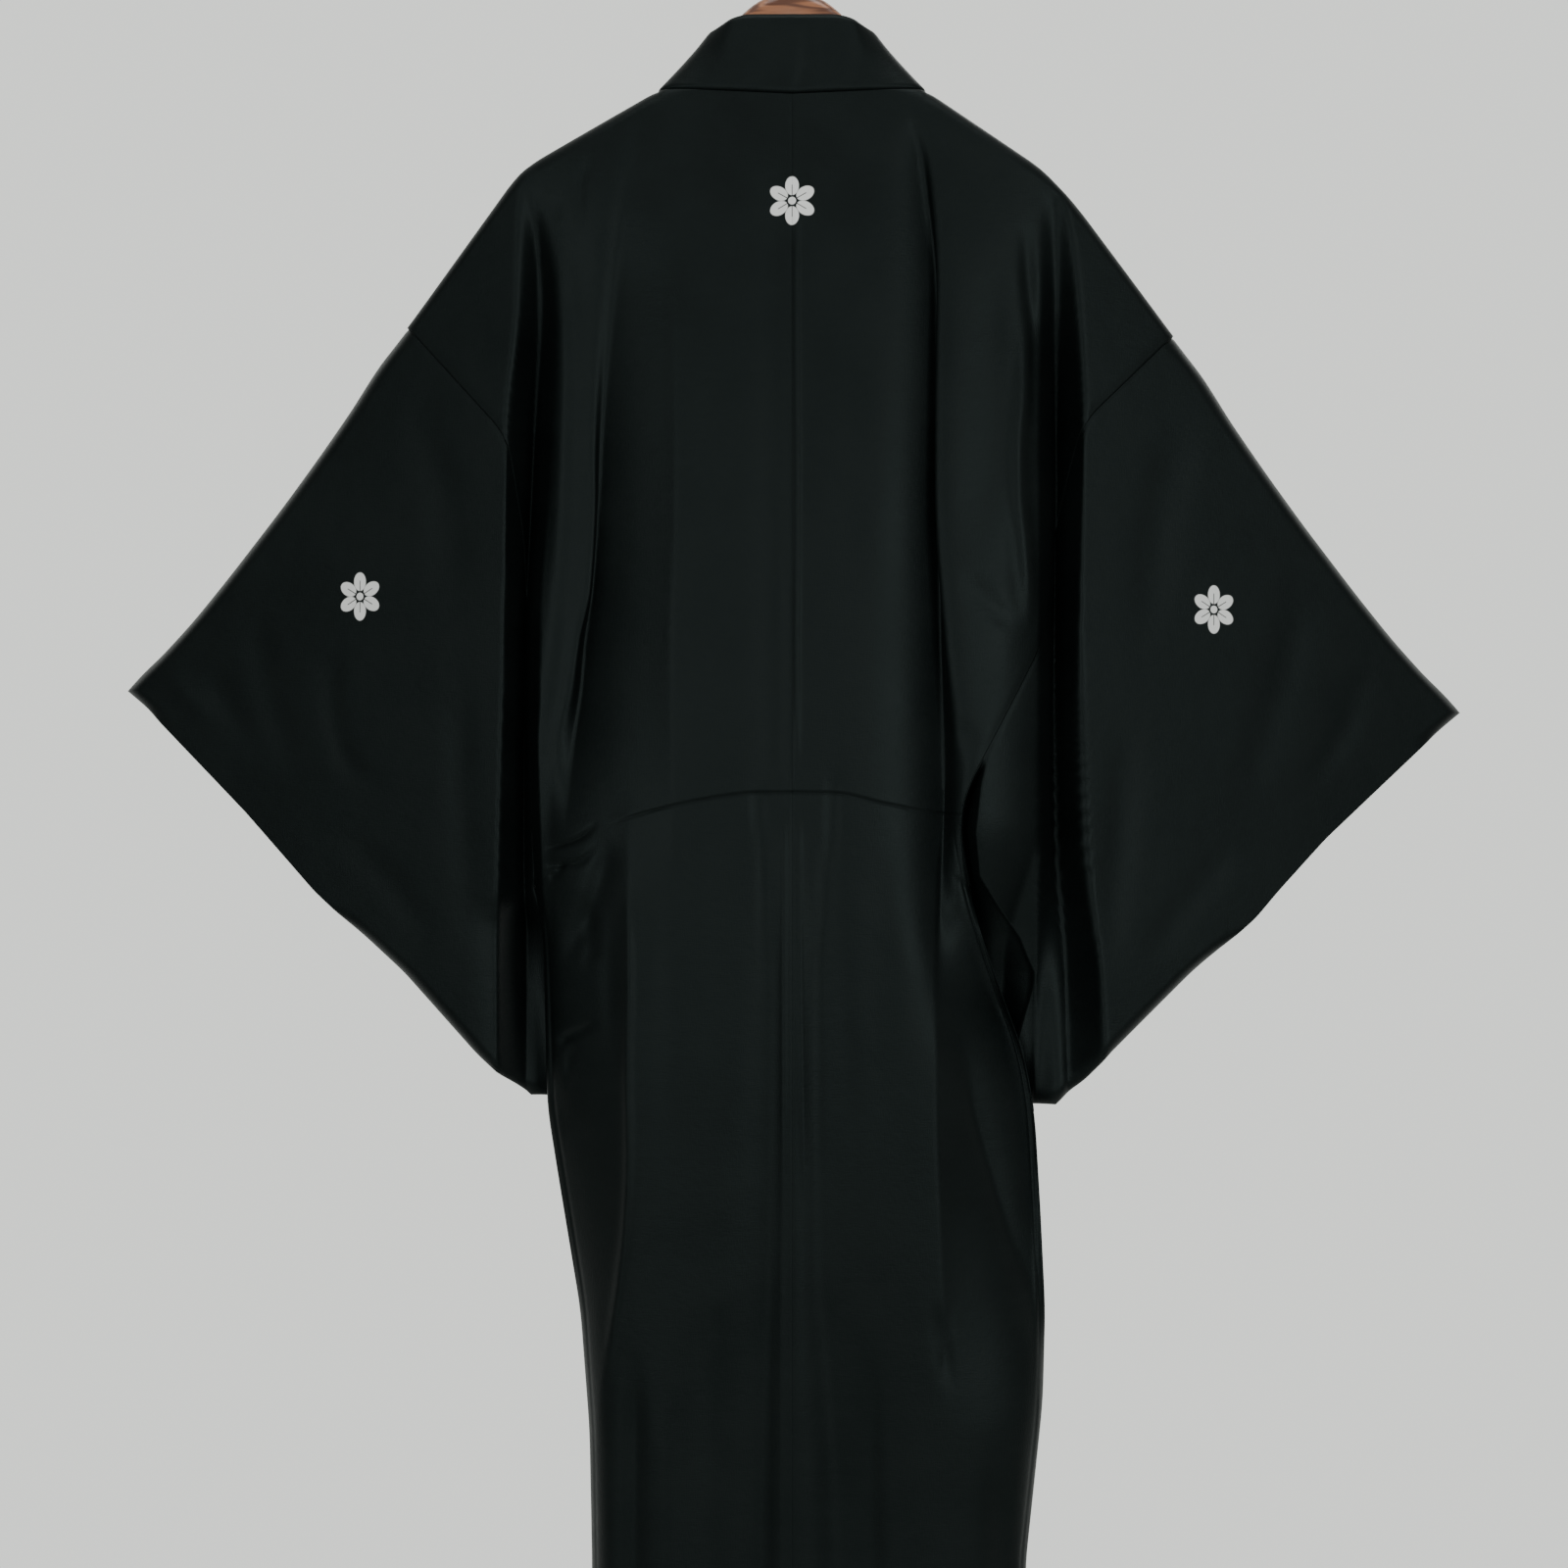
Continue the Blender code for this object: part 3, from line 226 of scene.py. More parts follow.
# Creases by surface, each a run of (out, height) points, its depth into the cloth
# (below zero for a ridge), its half width, and the share of its length over which it fades in
# at its top end and out at its foot, where that isn't the usual fade
usualFade = (0.3, 0.4)
creases = {
    "leftBack": (
        (((0.189, -0.226), (0.19, -0.27), (0.189, -0.335)), 0.0022, 0.0025, 0.3, 0.5),
        (((0.175, -0.25), (0.171, -0.335), (0.174, -0.407), (0.178, -0.478), (0.184, -0.552),
          (0.189, -0.63)), -0.0036, 0.0055, 0.2, 0.3),
        (((0.152, -0.19), (0.158, -0.218), (0.156, -0.252)), 0.0022, 0.0035, 0.3, 0.5),
        (((0.189, -0.23), (0.178, -0.231), (0.164, -0.227)), 0.0016, 0.003, 0.3, 0.5),
        (((0.187, -0.707), (0.17, -0.703), (0.155, -0.697), (0.143, -0.684)), 0.0024, 0.0024),
        (((0.186, -0.719), (0.17, -0.718), (0.156, -0.715), (0.142, -0.7)), 0.0026, 0.0026),
        (((0.182, -0.729), (0.174, -0.724), (0.167, -0.712)), 0.0016, 0.003),
        (((0.177, -0.852), (0.16, -0.843), (0.141, -0.834)), 0.0034, 0.0036),
        (((0.171, -0.871), (0.163, -0.861), (0.157, -0.853)), 0.0036, 0.004),
        (((0.178, -0.91), (0.16, -0.912), (0.142, -0.91)), 0.002, 0.006),
        (((0.132, -0.694), (0.143, -0.735), (0.158, -0.77), (0.175, -0.802)), 0.0042, 0.009, 0.25, 0.4),
        (((0.15, -0.742), (0.148, -0.775), (0.156, -0.8)), 0.0022, 0.006),
        (((0.132, -0.72), (0.134, -0.79), (0.131, -0.88)), 0.0012, 0.007, 0.4, 0.4),
        (((0.121, -0.73), (0.12, -0.802), (0.121, -0.874), (0.12, -0.931), (0.122, -0.982),
          (0.128, -1.032), (0.135, -1.075), (0.142, -1.111)), -0.0024, 0.0032, 0.12, 0.3),
        (((0.1, -0.7), (0.104, -0.86), (0.099, -1.02)), 0.001, 0.01),
        (((0.066, -0.64), (0.07, -0.76), (0.064, -0.9)), 0.0009, 0.012),
        (((0.062, -0.31), (0.058, -0.43), (0.061, -0.59)), 0.0007, 0.016),
        (((0.055, -1.02), (0.06, -1.18), (0.054, -1.4)), 0.0034, 0.013, 0.3, 0.15),
        (((0.115, -1.06), (0.116, -1.2), (0.113, -1.5)), 0.004, 0.008, 0.3, 0.15),
        (((0.093, -1.08), (0.092, -1.24), (0.092, -1.5)), -0.0022, 0.01, 0.3, 0.15),
        (((0.074, -1.064), (0.055, -1.052), (0.035, -1.043)), 0.001, 0.0028),
        (((0.027, -0.65), (0.022, -0.7), (0.018, -0.78), (0.016, -0.86)), 0.0024, 0.003, 0.2, 0.6),
        (((0.006, -0.676), (0.0065, -0.86), (0.0064, -1.0)), -0.001, 0.0026, 0.1, 0.5),
    ),
    "rightBack": (
        (((0.004, -0.22), (0.0034, -0.3), (0.004, -0.44), (0.0036, -0.56), (0.0042, -0.66)), -0.0012,
          0.0022, 0.15, 0.2),
        (((0.0048, -0.676), (0.006, -0.8), (0.009, -0.93), (0.0122, -1.03)), -0.0011, 0.0026, 0.1, 0.5),
        (((0.032, -0.645), (0.03, -0.68), (0.026, -0.73), (0.02, -0.8), (0.017, -0.9)), 0.0028, 0.003,
          0.15, 0.6),
        (((0.089, -0.16), (0.0925, -0.18), (0.098, -0.21)), 0.0014, 0.0016, 0.3, 0.6),
        (((0.172, -0.235), (0.176, -0.29), (0.18, -0.34), (0.179, -0.41)), 0.0044, 0.0048),
        (((0.1755, -0.28), (0.171, -0.371), (0.168, -0.407), (0.1685, -0.442), (0.1725, -0.478),
          (0.1755, -0.514), (0.177, -0.55)), -0.0042, 0.0058, 0.2, 0.25),
        (((0.193, -0.29), (0.194, -0.37), (0.19, -0.455)), 0.0034, 0.0085),
        (((0.15, -0.25), (0.15, -0.37), (0.146, -0.5)), 0.0022, 0.01, 0.3, 0.3),
        (((0.048, -0.3), (0.045, -0.45), (0.05, -0.6)), 0.0007, 0.016),
        (((0.066, -0.69), (0.064, -0.8), (0.07, -0.93)), 0.001, 0.013),
        (((0.104, -1.04), (0.11, -1.07), (0.12, -1.11)), 0.0024, 0.0055),
        (((0.127, -0.87), (0.137, -0.912), (0.154, -0.97), (0.176, -1.04)), 0.0016, 0.0045, 0.2, 0.4),
        (((0.056, -1.04), (0.058, -1.2), (0.06, -1.5)), 0.003, 0.011, 0.3, 0.15),
        (((0.15, -1.13), (0.156, -1.26), (0.158, -1.5)), 0.0034, 0.012, 0.3, 0.15),
        (((0.1165, -1.04), (0.113, -1.075), (0.1055, -1.104)), 0.0009, 0.0028),
        (((0.136, -0.5), (0.152, -0.528), (0.166, -0.544)), 0.0018, 0.005),
        (((0.126, -0.61), (0.134, -0.628), (0.14, -0.64)), 0.0014, 0.004),
    ),
    "leftFront": (
        (((0.16, -0.215), (0.166, -0.3), (0.163, -0.42)), 0.003, 0.009),
        (((0.1, -0.3), (0.104, -0.45), (0.1, -0.64)), -0.0024, 0.016),
        (((0.092, -0.7), (0.088, -0.9), (0.09, -1.15)), 0.0034, 0.014),
        (((0.158, -0.8), (0.15, -1.0), (0.148, -1.3)), 0.0038, 0.012),
        (((0.07, -1.15), (0.074, -1.3), (0.072, -1.54)), -0.0026, 0.018, 0.3, 0.2),
        (((0.182, -0.72), (0.166, -0.7), (0.14, -0.688)), 0.002, 0.007),
    ),
    "rightFront": (
        (((0.15, -0.23), (0.156, -0.33), (0.152, -0.46)), 0.0028, 0.009),
        (((0.094, -0.32), (0.09, -0.48), (0.096, -0.65)), -0.0022, 0.015),
        (((0.094, -0.74), (0.098, -0.93), (0.094, -1.18)), 0.0036, 0.013),
        (((0.162, -0.86), (0.164, -1.05), (0.16, -1.32)), 0.0036, 0.011),
        (((0.066, -1.18), (0.062, -1.33), (0.066, -1.55)), -0.0026, 0.018, 0.3, 0.2),
    ),
    "leftSleeve": (
        (((0.452, -0.56), (0.43, -0.605), (0.402, -0.64)), 0.0012, 0.01),
        (((0.416, -0.51), (0.4, -0.59), (0.372, -0.668)), 0.0013, 0.012),
        (((0.352, -0.545), (0.35, -0.59), (0.338, -0.64), (0.298, -0.665)), 0.0012, 0.007),
        (((0.29, -0.35), (0.262, -0.44), (0.248, -0.56)), 0.0012, 0.015),
        (((0.25, -0.56), (0.246, -0.68), (0.238, -0.8)), 0.0011, 0.012),
        (((0.35, -0.69), (0.3, -0.735), (0.262, -0.79)), 0.001, 0.012),
        (((0.49, -0.56), (0.47, -0.588), (0.44, -0.612)), -0.0014, 0.008),
    ),
    "rightSleeve": (
        (((0.448, -0.56), (0.424, -0.618), (0.388, -0.668)), 0.0012, 0.01),
        (((0.394, -0.5), (0.372, -0.59), (0.336, -0.69)), 0.0012, 0.013),
        (((0.3, -0.37), (0.276, -0.46), (0.262, -0.58)), 0.0012, 0.016),
        (((0.252, -0.6), (0.244, -0.71), (0.232, -0.81)), 0.0012, 0.012),
        (((0.34, -0.7), (0.296, -0.75), (0.258, -0.8)), 0.001, 0.012),
    ),
}


# A soft step from 0 to 1: share squared times (3 - 2 share)
def smooth(start, end, value):
    share = np.clip((value - start) / (end - start), 0.0, 1.0)
    return share * share * (3.0 - 2.0 * share)


# The height of a quarter circle at a distance from its end
def rounding(distance, radius):
    share = 1.0 - np.clip(distance / radius, 0.0, 1.0)
    return np.sqrt(1.0 - share * share)


# A smooth curve through a table's points: cubic pieces whose slopes never overshoot the points
def curve(value, places, heights):
    xs, ys = np.asarray(places, float), np.asarray(heights, float)
    if xs[0] > xs[-1]:
        xs, ys = xs[::-1], ys[::-1]
    step = np.diff(xs)
    rise = np.diff(ys) / step
    same = rise[:-1] * rise[1:] > 0.0
    total = np.where(same, rise[:-1] + rise[1:], 1.0)
    inner = np.where(same, 2.0 * rise[:-1] * rise[1:] / total, 0.0)
    slope = np.concatenate(([rise[0]], inner, [rise[-1]]))
    value = np.asarray(value, float)
    index = np.clip(np.searchsorted(xs, value) - 1, 0, xs.size - 2)
    t = np.clip((value - xs[index]) / step[index], 0.0, 1.0)
    first = (2.0 * t**3 - 3.0 * t**2 + 1.0) * ys[index] + (t**3 - 2.0 * t**2 + t) * step[index] * slope[index]
    second = (3.0 * t**2 - 2.0 * t**3) * ys[index + 1] + (t**3 - t**2) * step[index] * slope[index + 1]
    return first + second


# Straight lines through a table's points, their corners eased by averaging over a soft width
def line(value, places, heights, soft):
    xs, ys = np.asarray(places, float), np.asarray(heights, float)
    if xs[0] > xs[-1]:
        xs, ys = xs[::-1], ys[::-1]
    value = np.asarray(value, float)
    room = np.clip(np.minimum(value - xs[0], xs[-1] - value), 0.0, soft)
    return sum(np.interp(value + room * shift, xs, ys) for shift in np.linspace(-1.0, 1.0, 9)) / 9.0


# Height of the cloth's top edge, less the sleeve's sag between the armhole and the tip
def topHeight(side, out):
    edge = topEdge[side]
    start, end = edge["out"][-2], edge["out"][-1]
    share = np.clip((out - start) / (end - start), 0.0, 1.0)
    sag = curve(share, sleeveSag["share"], sleeveSag["sag"])
    return line(out, edge["out"], edge["height"], 0.007) - sag


# A fold's line, depth and half widths at each height, held level beyond the ends of its table
def foldAt(fold, height):
    places = (fold["height"][0] + 0.03,) + fold["height"] + (fold["height"][-1] - 0.03,)
    at = {key: fold[key] for key in ("out", "depth", "inner", "outer", "over") if key in fold}
    for key, row in at.items():
        if isinstance(row, tuple):
            at[key] = curve(height, places, row[:1] + row + row[-1:])
    return at


# Sum of the long folds: each is depth times exp(-(offset / width)^power), from its table. A ramp
# is flat as far as its line, and sinks from there outward by depth times one less that share
def foldRelief(folds, side, out, height):
    total = np.zeros(np.broadcast(out, height).shape)
    for fold in folds[side]:
        at = foldAt(fold, height)
        offset = out - at["out"]
        width = np.where(offset < 0.0, at["inner"], at["outer"])
        near = np.exp(-np.abs(offset / width) ** fold["power"])
        sunk = np.where(offset > 0.0, 1.0 - near, 0.0) * smooth(*hang["rampEnd"], out)
        total = total + at["depth"] * (sunk if "ramp" in fold else near)
    return total


# How far the outer side of an overlapped fold laps toward the centre, over its line
def foldShift(side, out, height):
    total = np.zeros(np.broadcast(out, height).shape)
    for fold in backFolds[side]:
        if "over" in fold:
            at = foldAt(fold, height)
            share = (out - at["out"]) / at["outer"]
            total = total + at["over"] * smooth(0.0, 1.6, share) * smooth(5.0, 1.9, share)
    return total


# Sum of the creases: depth times exp(-(distance from the crease's line / width)^2), faded
def creaseRelief(name, out, height):
    out, height = np.broadcast_arrays(out, height)
    total = np.zeros(out.shape)
    for points, depth, width, *fades in creases[name]:
        fadeIn, fadeOut = fades or usualFade
        outs, levels = np.asarray(points, float).T
        share = np.linspace(0.0, 1.0, outs.size)
        fine = np.linspace(0.0, 1.0, 25)
        path = np.stack((curve(fine, share, outs), curve(fine, share, levels)), axis=1)
        low, high = path.min(axis=0) - 4.0 * width, path.max(axis=0) + 4.0 * width
        near = (out > low[0]) & (out < high[0]) & (height > low[1]) & (height < high[1])
        spot = np.stack((out[near], height[near]), axis=1)[:, None, :]
        start, along = path[None, :-1, :], (path[1:] - path[:-1])[None]
        t = np.clip(np.sum((spot - start) * along, axis=2) / np.sum(along * along, axis=2), 0.0, 1.0)
        away = np.linalg.norm(spot - start - along * t[:, :, None], axis=2)
        best = np.argmin(away, axis=1)
        rows = np.arange(best.size)
        place = (best + t[rows, best]) / (path.shape[0] - 1)
        fade = smooth(0.0, fadeIn, place) * smooth(0.0, fadeOut, 1.0 - place)
        total[near] += depth * fade * np.exp(-((away[rows, best] / width) ** 2))
    return total


# Depth of the middle layer: valley * (1 - |2 across - 1|^power), then the swept sleeve's slope
def middleDepth(side, out, height):
    body = curve(height, bodyWidth["height"], bodyWidth[side + "Body"])
    sleeve = curve(height, bodyWidth["height"], bodyWidth[side + "Sleeve"])
    across = np.clip((out - body) / (sleeve - body), 0.0, 1.0)
    bend = 1.0 - np.abs(2.0 * across - 1.0) ** hang["valleyPower"]
    swept = math.tan(hang["sleeveSweep"]) * np.clip(out - sleeve, 0.0, None)
    return curve(height, valley["height"], valley["depth"]) * bend + swept


# Share of the full thickness under the rounded shoulder, with the neck open as a superellipse
def topShare(side, out, height):
    share = rounding(topHeight(side, out) - height, cloth["foldRadius"])
    neck = np.sqrt(1.0 - np.clip(out / cut["neckHalfWidth"], 0.0, 1.0) ** 8)
    return neck + (1.0 - neck) * share


# Half thickness of the body: radius + (full - radius) * (1 - (out / body)^6)
def bodyBulge(side, out, height, face):
    body = curve(height, bodyWidth["height"], bodyWidth[side + "Body"])
    below = curve(height, sideSeam[side]["height"], sideSeam[side]["out"])
    foot = armhole[side]["height"][-1]
    body = body + (np.maximum(below, hang["leastBody"]) - body) * smooth(foot + 0.05, foot - 0.06, height)
    full = curve(height, bodyDepth["height"], bodyDepth[face])
    radius = cloth["foldRadius"]
    return radius + (full - radius) * (1.0 - np.clip(out / body, 0.0, 1.0) ** 6)


# Back surface: the middle less the bulge, plus the folds
def backDepth(side, out, height):
    relief = foldRelief(backFolds, side, out, height) - bodyBulge(side, out, height, "back")
    return middleDepth(side, out, height) + relief * topShare(side, out, height)


# Front surface: the middle plus the bulge, less the folds
def frontDepth(side, out, height):
    relief = bodyBulge(side, out, height, "front") - foldRelief(frontFolds, side, out, height)
    return middleDepth(side, out, height) + relief * topShare(side, out, height)


# How far the right front lies inside the left one, where they cross
def underShift(side, out, drop, end):
    share = smooth(0.172, 0.142, out) * smooth(0.0, 0.03, end - out) * smooth(0.13, cut["okumiDrop"], drop)
    return -hang["underFront"] * share * (1.0 if side == "right" else 0.0)


# 1 along the open armhole, down to 0 at its foot
def armholeOpenness(side, height):
    foot = armhole[side]["height"][-1]
    return 0.45 * smooth(foot, foot + 0.004, height) + 0.55 * smooth(foot, foot + 0.06, height)


# Depth half way between the sleeve's two layers on the armhole seam
def seamMiddle(side, out, height):
    bulge = bodyBulge(side, out, height, "back")
    relief = foldRelief(backFolds, side, out, height)
    return middleDepth(side, out, height) - bulge + relief + cloth["foldRadius"]


# Depth of the side seam, which starts on the foot of the armhole
def sideDepth(side, height):
    seam = sideSeam[side]
    foot = float(seamMiddle(side, np.array(seam["out"][0]), np.array(seam["height"][0])))
    return curve(height, seam["height"], (foot,) + seam["depth"][1:])


# Height of a point: the shoulder's fall, less of it toward the hem, less the drop
def heightAt(side, out, drop):
    neckHeight = topEdge[side]["height"][1]
    kept = 1.0 - (1.0 - hang["hemDroopKept"]) * smooth(0.6, cut["length"], drop)
    return neckHeight + (topHeight(side, out) - neckHeight) * kept - drop


def armholeOut(side, height):   # the armhole seam's out at a height
    return line(height, armhole[side]["height"], armhole[side]["out"], 0.012)


# The body's outer edge as drops and outs: the drop that gives each height is found by stepping
def edgeTable(side):
    heights = np.linspace(armhole[side]["height"][0], -1.62, 3000)
    upper = armholeOut(side, heights)
    lower = line(heights, sideSeam[side]["height"], sideSeam[side]["out"], 0.015)
    outs = np.where(heights > armhole[side]["height"][-1], upper, lower)
    drops = -heights - 0.14
    for turn in range(30):
        drops = drops + heightAt(side, outs, drops) - heights
    return drops, outs


edges = {side: edgeTable(side) for side in sides}


def edgeOut(side, drops):   # the outer edge's out at each drop
    return np.interp(drops, *edges[side])


def dropOf(side, height):   # the drop at which the outer edge reaches a height
    heights = heightAt(side, edges[side][1], edges[side][0])
    return float(np.interp(-height, -heights, edges[side][0]))


# Drops of the rows: squares of a share at the shoulder fold, then even steps, close at the tuck
def rowDrops(side):
    count, hipFoot = rows["count"], rows["hip"]
    fold = rows["shoulder"] * (np.arange(15) / 15.0) ** 2
    foot = dropOf(side, armhole[side]["height"][-1])
    upper = np.linspace(rows["shoulder"], rows["tuckFrom"], int(count * 0.30))
    near = np.linspace(rows["tuckFrom"], rows["tuckTo"], 34)
    below = np.linspace(rows["tuckTo"], foot, 22)
    hip = np.linspace(foot, foot + hipFoot, int(count * 0.22))
    lower = np.linspace(foot + hipFoot, cut["length"], int(count * 0.34))
    return np.concatenate((fold, upper[:-1], near[:-1], below[:-1], hip[:-1], lower)), foot


# A mesh from grids of points: each grid's quads, joined where the grids' edges meet
def gridPiece(name, grids, maps, material, wall=None):
    points, faces, flat, base = [], [], [], 0
    for grid, chart in zip(grids, maps):
        rows, columns = grid.shape[:2]
        index = base + np.arange(rows * columns).reshape(rows, columns)
        quads = np.stack((index[:-1, :-1], index[:-1, 1:], index[1:, 1:], index[1:, :-1]), axis=-1)
        points.append(grid.reshape(-1, 3))
        flat.append(chart.reshape(-1, 2))
        faces.append(quads.reshape(-1, 4))
        base += rows * columns
    points, faces, flat = np.concatenate(points), np.concatenate(faces), np.concatenate(flat)
    mesh = bpy.data.meshes.new(name)
    mesh.from_pydata(points.tolist(), [], faces.tolist())
    layer = mesh.uv_layers.new(name="flatCloth")
    layer.data.foreach_set("uv", flat[faces.reshape(-1)].astype(np.float32).reshape(-1))
    shell = bmesh.new()
    shell.from_mesh(mesh)
    bmesh.ops.remove_doubles(shell, verts=shell.verts, dist=0.00002)
    bmesh.ops.dissolve_degenerate(shell, edges=shell.edges, dist=0.00001)
    bmesh.ops.recalc_face_normals(shell, faces=shell.faces)
    shell.to_mesh(mesh)
    shell.free()
    mesh.shade_smooth()
    mesh.materials.append(material)
    piece = bpy.data.objects.new(name, mesh)
    bpy.context.scene.collection.objects.link(piece)
    if wall:
        solid = piece.modifiers.new("wall", "SOLIDIFY")
        solid.thickness = wall
        solid.offset = 0.0
    return piece


# Spreads shares of 0 to 1 closer together toward both ends, by a part of a cosine
def endShares(count, part=0.8):
    share = np.linspace(0.0, 1.0, count)
    return (1.0 - part) * share + part * 0.5 * (1.0 - np.cos(np.pi * share))


# Height of the tuck seam across the back, and the step of the cloth folded over it
tuck = {
    "left": {"out": (0.0, 0.024, 0.05, 0.078, 0.114, 0.13),
             "height": (-0.6632, -0.6634, -0.666, -0.6711, -0.6798, -0.685)},
    "right": {"out": (0.0, 0.03, 0.066, 0.106, 0.123),
              "height": (-0.6632, -0.6638, -0.6711, -0.6783, -0.68)},
    "step": 0.0007,
    "above": 0.03,
    "groove": 0.0006,
    "half": 0.001,
}


# The tuck: the cloth above stands out by step * exp(-above / length), with a groove on the line
def tuckRelief(side, out, height):
    above = height - curve(out, tuck[side]["out"], tuck[side]["height"])
    proud = smooth(-tuck["half"], tuck["half"], above) * np.exp(-np.clip(above, 0.0, None) / tuck["above"])
    sewn = np.exp(-(((above + tuck["half"]) / tuck["half"]) ** 2))
    inside = smooth(0.140, 0.112, out)
    return (tuck["groove"] * sewn - tuck["step"] * proud) * inside


# One body length: a back and a front sheet on the two surfaces, joined over the shoulder
def bodySheets(side):
    sign = sides[side]
    drops, foot = rowDrops(side)
    drop = drops[:, None]
    end = edgeOut(side, drops)
    edgeHeight = heightAt(side, end, drops)
    inner = np.interp(drops, (0.0, cut["okumiDrop"]), (cut["neckHalfWidth"], cut["frontSeamOut"]))[:, None]
    # Columns lie closest at the centre seam, beside the neck and at the outer edge
    neckShares = np.concatenate(([0.0, 0.003], np.linspace(0.012, 0.14, 15)[:-1],
                                 1.0 - 0.86 * (1.0 - np.arange(16) / 16.0) ** 1.6))
    first = neckShares.size
    share = np.linspace(0.0, 1.0, 70)
    outerShares = 0.45 * share + 0.55 * (1.0 - (1.0 - share) ** 2)
    atEnd, edgeHigh = end[:, None], edgeHeight[:, None]
    shown = np.concatenate((inner * neckShares, inner + (atEnd - inner) * outerShares), axis=1)
    heights = heightAt(side, shown, drop)
    middle = seamMiddle(side, end, edgeHeight)
    half = cloth["foldRadius"] * topShare(side, end, edgeHeight) * armholeOpenness(side, edgeHeight)
    below = drops > foot - 1e-6
    middle = np.where(below, sideDepth(side, edgeHeight), middle)[:, None]
    half = np.where(below, 0.0, half)[:, None]
    away = atEnd - shown
    bendBack = 1.0 - rounding(away, hang["backTurn"])
    bendFront = 1.0 - rounding(away, hang["frontTurn"])
    back = backDepth(side, shown, heights)
    front = frontDepth(side, shown, heights) + underShift(side, shown, drop, atEnd)
    back = back + bendBack * (middle - half - backDepth(side, atEnd, edgeHigh))
    front = front + bendFront * (middle + half - frontDepth(side, atEnd, edgeHigh))
    free = smooth(0.0, 0.012, away) * smooth(0.0, 0.012, drop)
    sewn = cloth["seamDip"] * smooth(0.0, 0.01, drop)
    fine = creaseRelief(side + "Back", shown, heights) * free
    fine = fine + tuckRelief(side, shown, heights)
    fine = fine + 0.25 * sewn * np.exp(-((shown / (0.4 * cloth["seamWide"])) ** 2))
    back = back + fine + 0.6 * sewn * np.exp(-((away / cloth["seamWide"]) ** 2)) * (drop < foot)
    beside = np.exp(-(((away - cloth["wideSeamIn"]) / cloth["wideSeamHalf"]) ** 2))
    back = back + cloth["wideSeam"] * beside * smooth(foot - 0.05, foot + 0.01, drop)
    front = front - creaseRelief(side + "Front", shown, heights) * free
    front = front - sewn * np.exp(-(((shown - inner) / cloth["seamWide"]) ** 2)) * smooth(0.1, 0.2, drop)
    lapped = shown - foldShift(side, shown, heights) * smooth(0.0, 0.02, away)
    backGrid = np.stack((sign * lapped, back, heights), axis=-1)
    frontGrid = np.stack((sign * shown, front, heights), axis=-1)[:, first:]
    frontGrid[1:, 0, 0] += sign * cloth["seamGap"] * smooth(0.0, 0.02, drops[1:])
    backMap = np.stack((sign * shown, heights), axis=-1)
    frontMap = np.stack((sign * shown, heights + 3.0), axis=-1)[:, first:]
    return (backGrid, frontGrid), (backMap, frontMap)


# Points on the garment's front, where an out below zero lies past the centre line
def frontPoints(side, outs, drops):
    other = "left" if side == "right" else "right"
    own, distance = outs >= 0.0, np.abs(outs)
    heights = np.where(own, heightAt(side, distance, drops), heightAt(other, distance, drops))
    depths = np.where(own, frontDepth(side, distance, heights), frontDepth(other, distance, heights))
    if side == "right":
        depths = depths - hang["underFront"] * smooth(0.13, cut["okumiDrop"], drops)
    return np.stack((outs, depths, heights), axis=-1)


# The front overlap: straight across from the front seam, past the centre line to its own edge
def okumiSheet(side):
    sign = sides[side]
    drops = rowDrops(side)[0]
    drops = np.concatenate(([cut["okumiDrop"]], drops[drops > cut["okumiDrop"] + 1e-4]))
    edge = np.where(
        drops < cut["collarEndDrop"],
        np.interp(drops, (cut["okumiDrop"], cut["collarEndDrop"]),
                  (cut["frontSeamOut"], -cut["collarEndPast"])),
        np.interp(drops, (cut["collarEndDrop"], 1.0), (-cut["collarEndPast"], -cut["frontEdgePast"])),
    )[:, None]
    share = np.linspace(0.0, 1.0, 44)[None, :]
    outs = cut["frontSeamOut"] - cloth["seamGap"] + (edge - cut["frontSeamOut"]) * share
    drop = drops[:, None]
    grid = frontPoints(side, outs, drop)
    heights = grid[..., 2]
    toSeam = cut["frontSeamOut"] - outs
    grid[..., 1] -= cloth["seamDip"] * np.exp(-((toSeam / cloth["seamWide"]) ** 2))
    wave = hang["hemWave"] * np.sin(4.1 * heights + 17.0 * outs + (1.7 if side == "right" else 0.4))
    grid[..., 1] += wave * smooth(0.0, 0.03, toSeam) * smooth(0.75, 1.0, drop)
    grid[..., 0] *= sign
    return (grid,), (np.stack((grid[..., 0], heights + 3.0), axis=-1),)


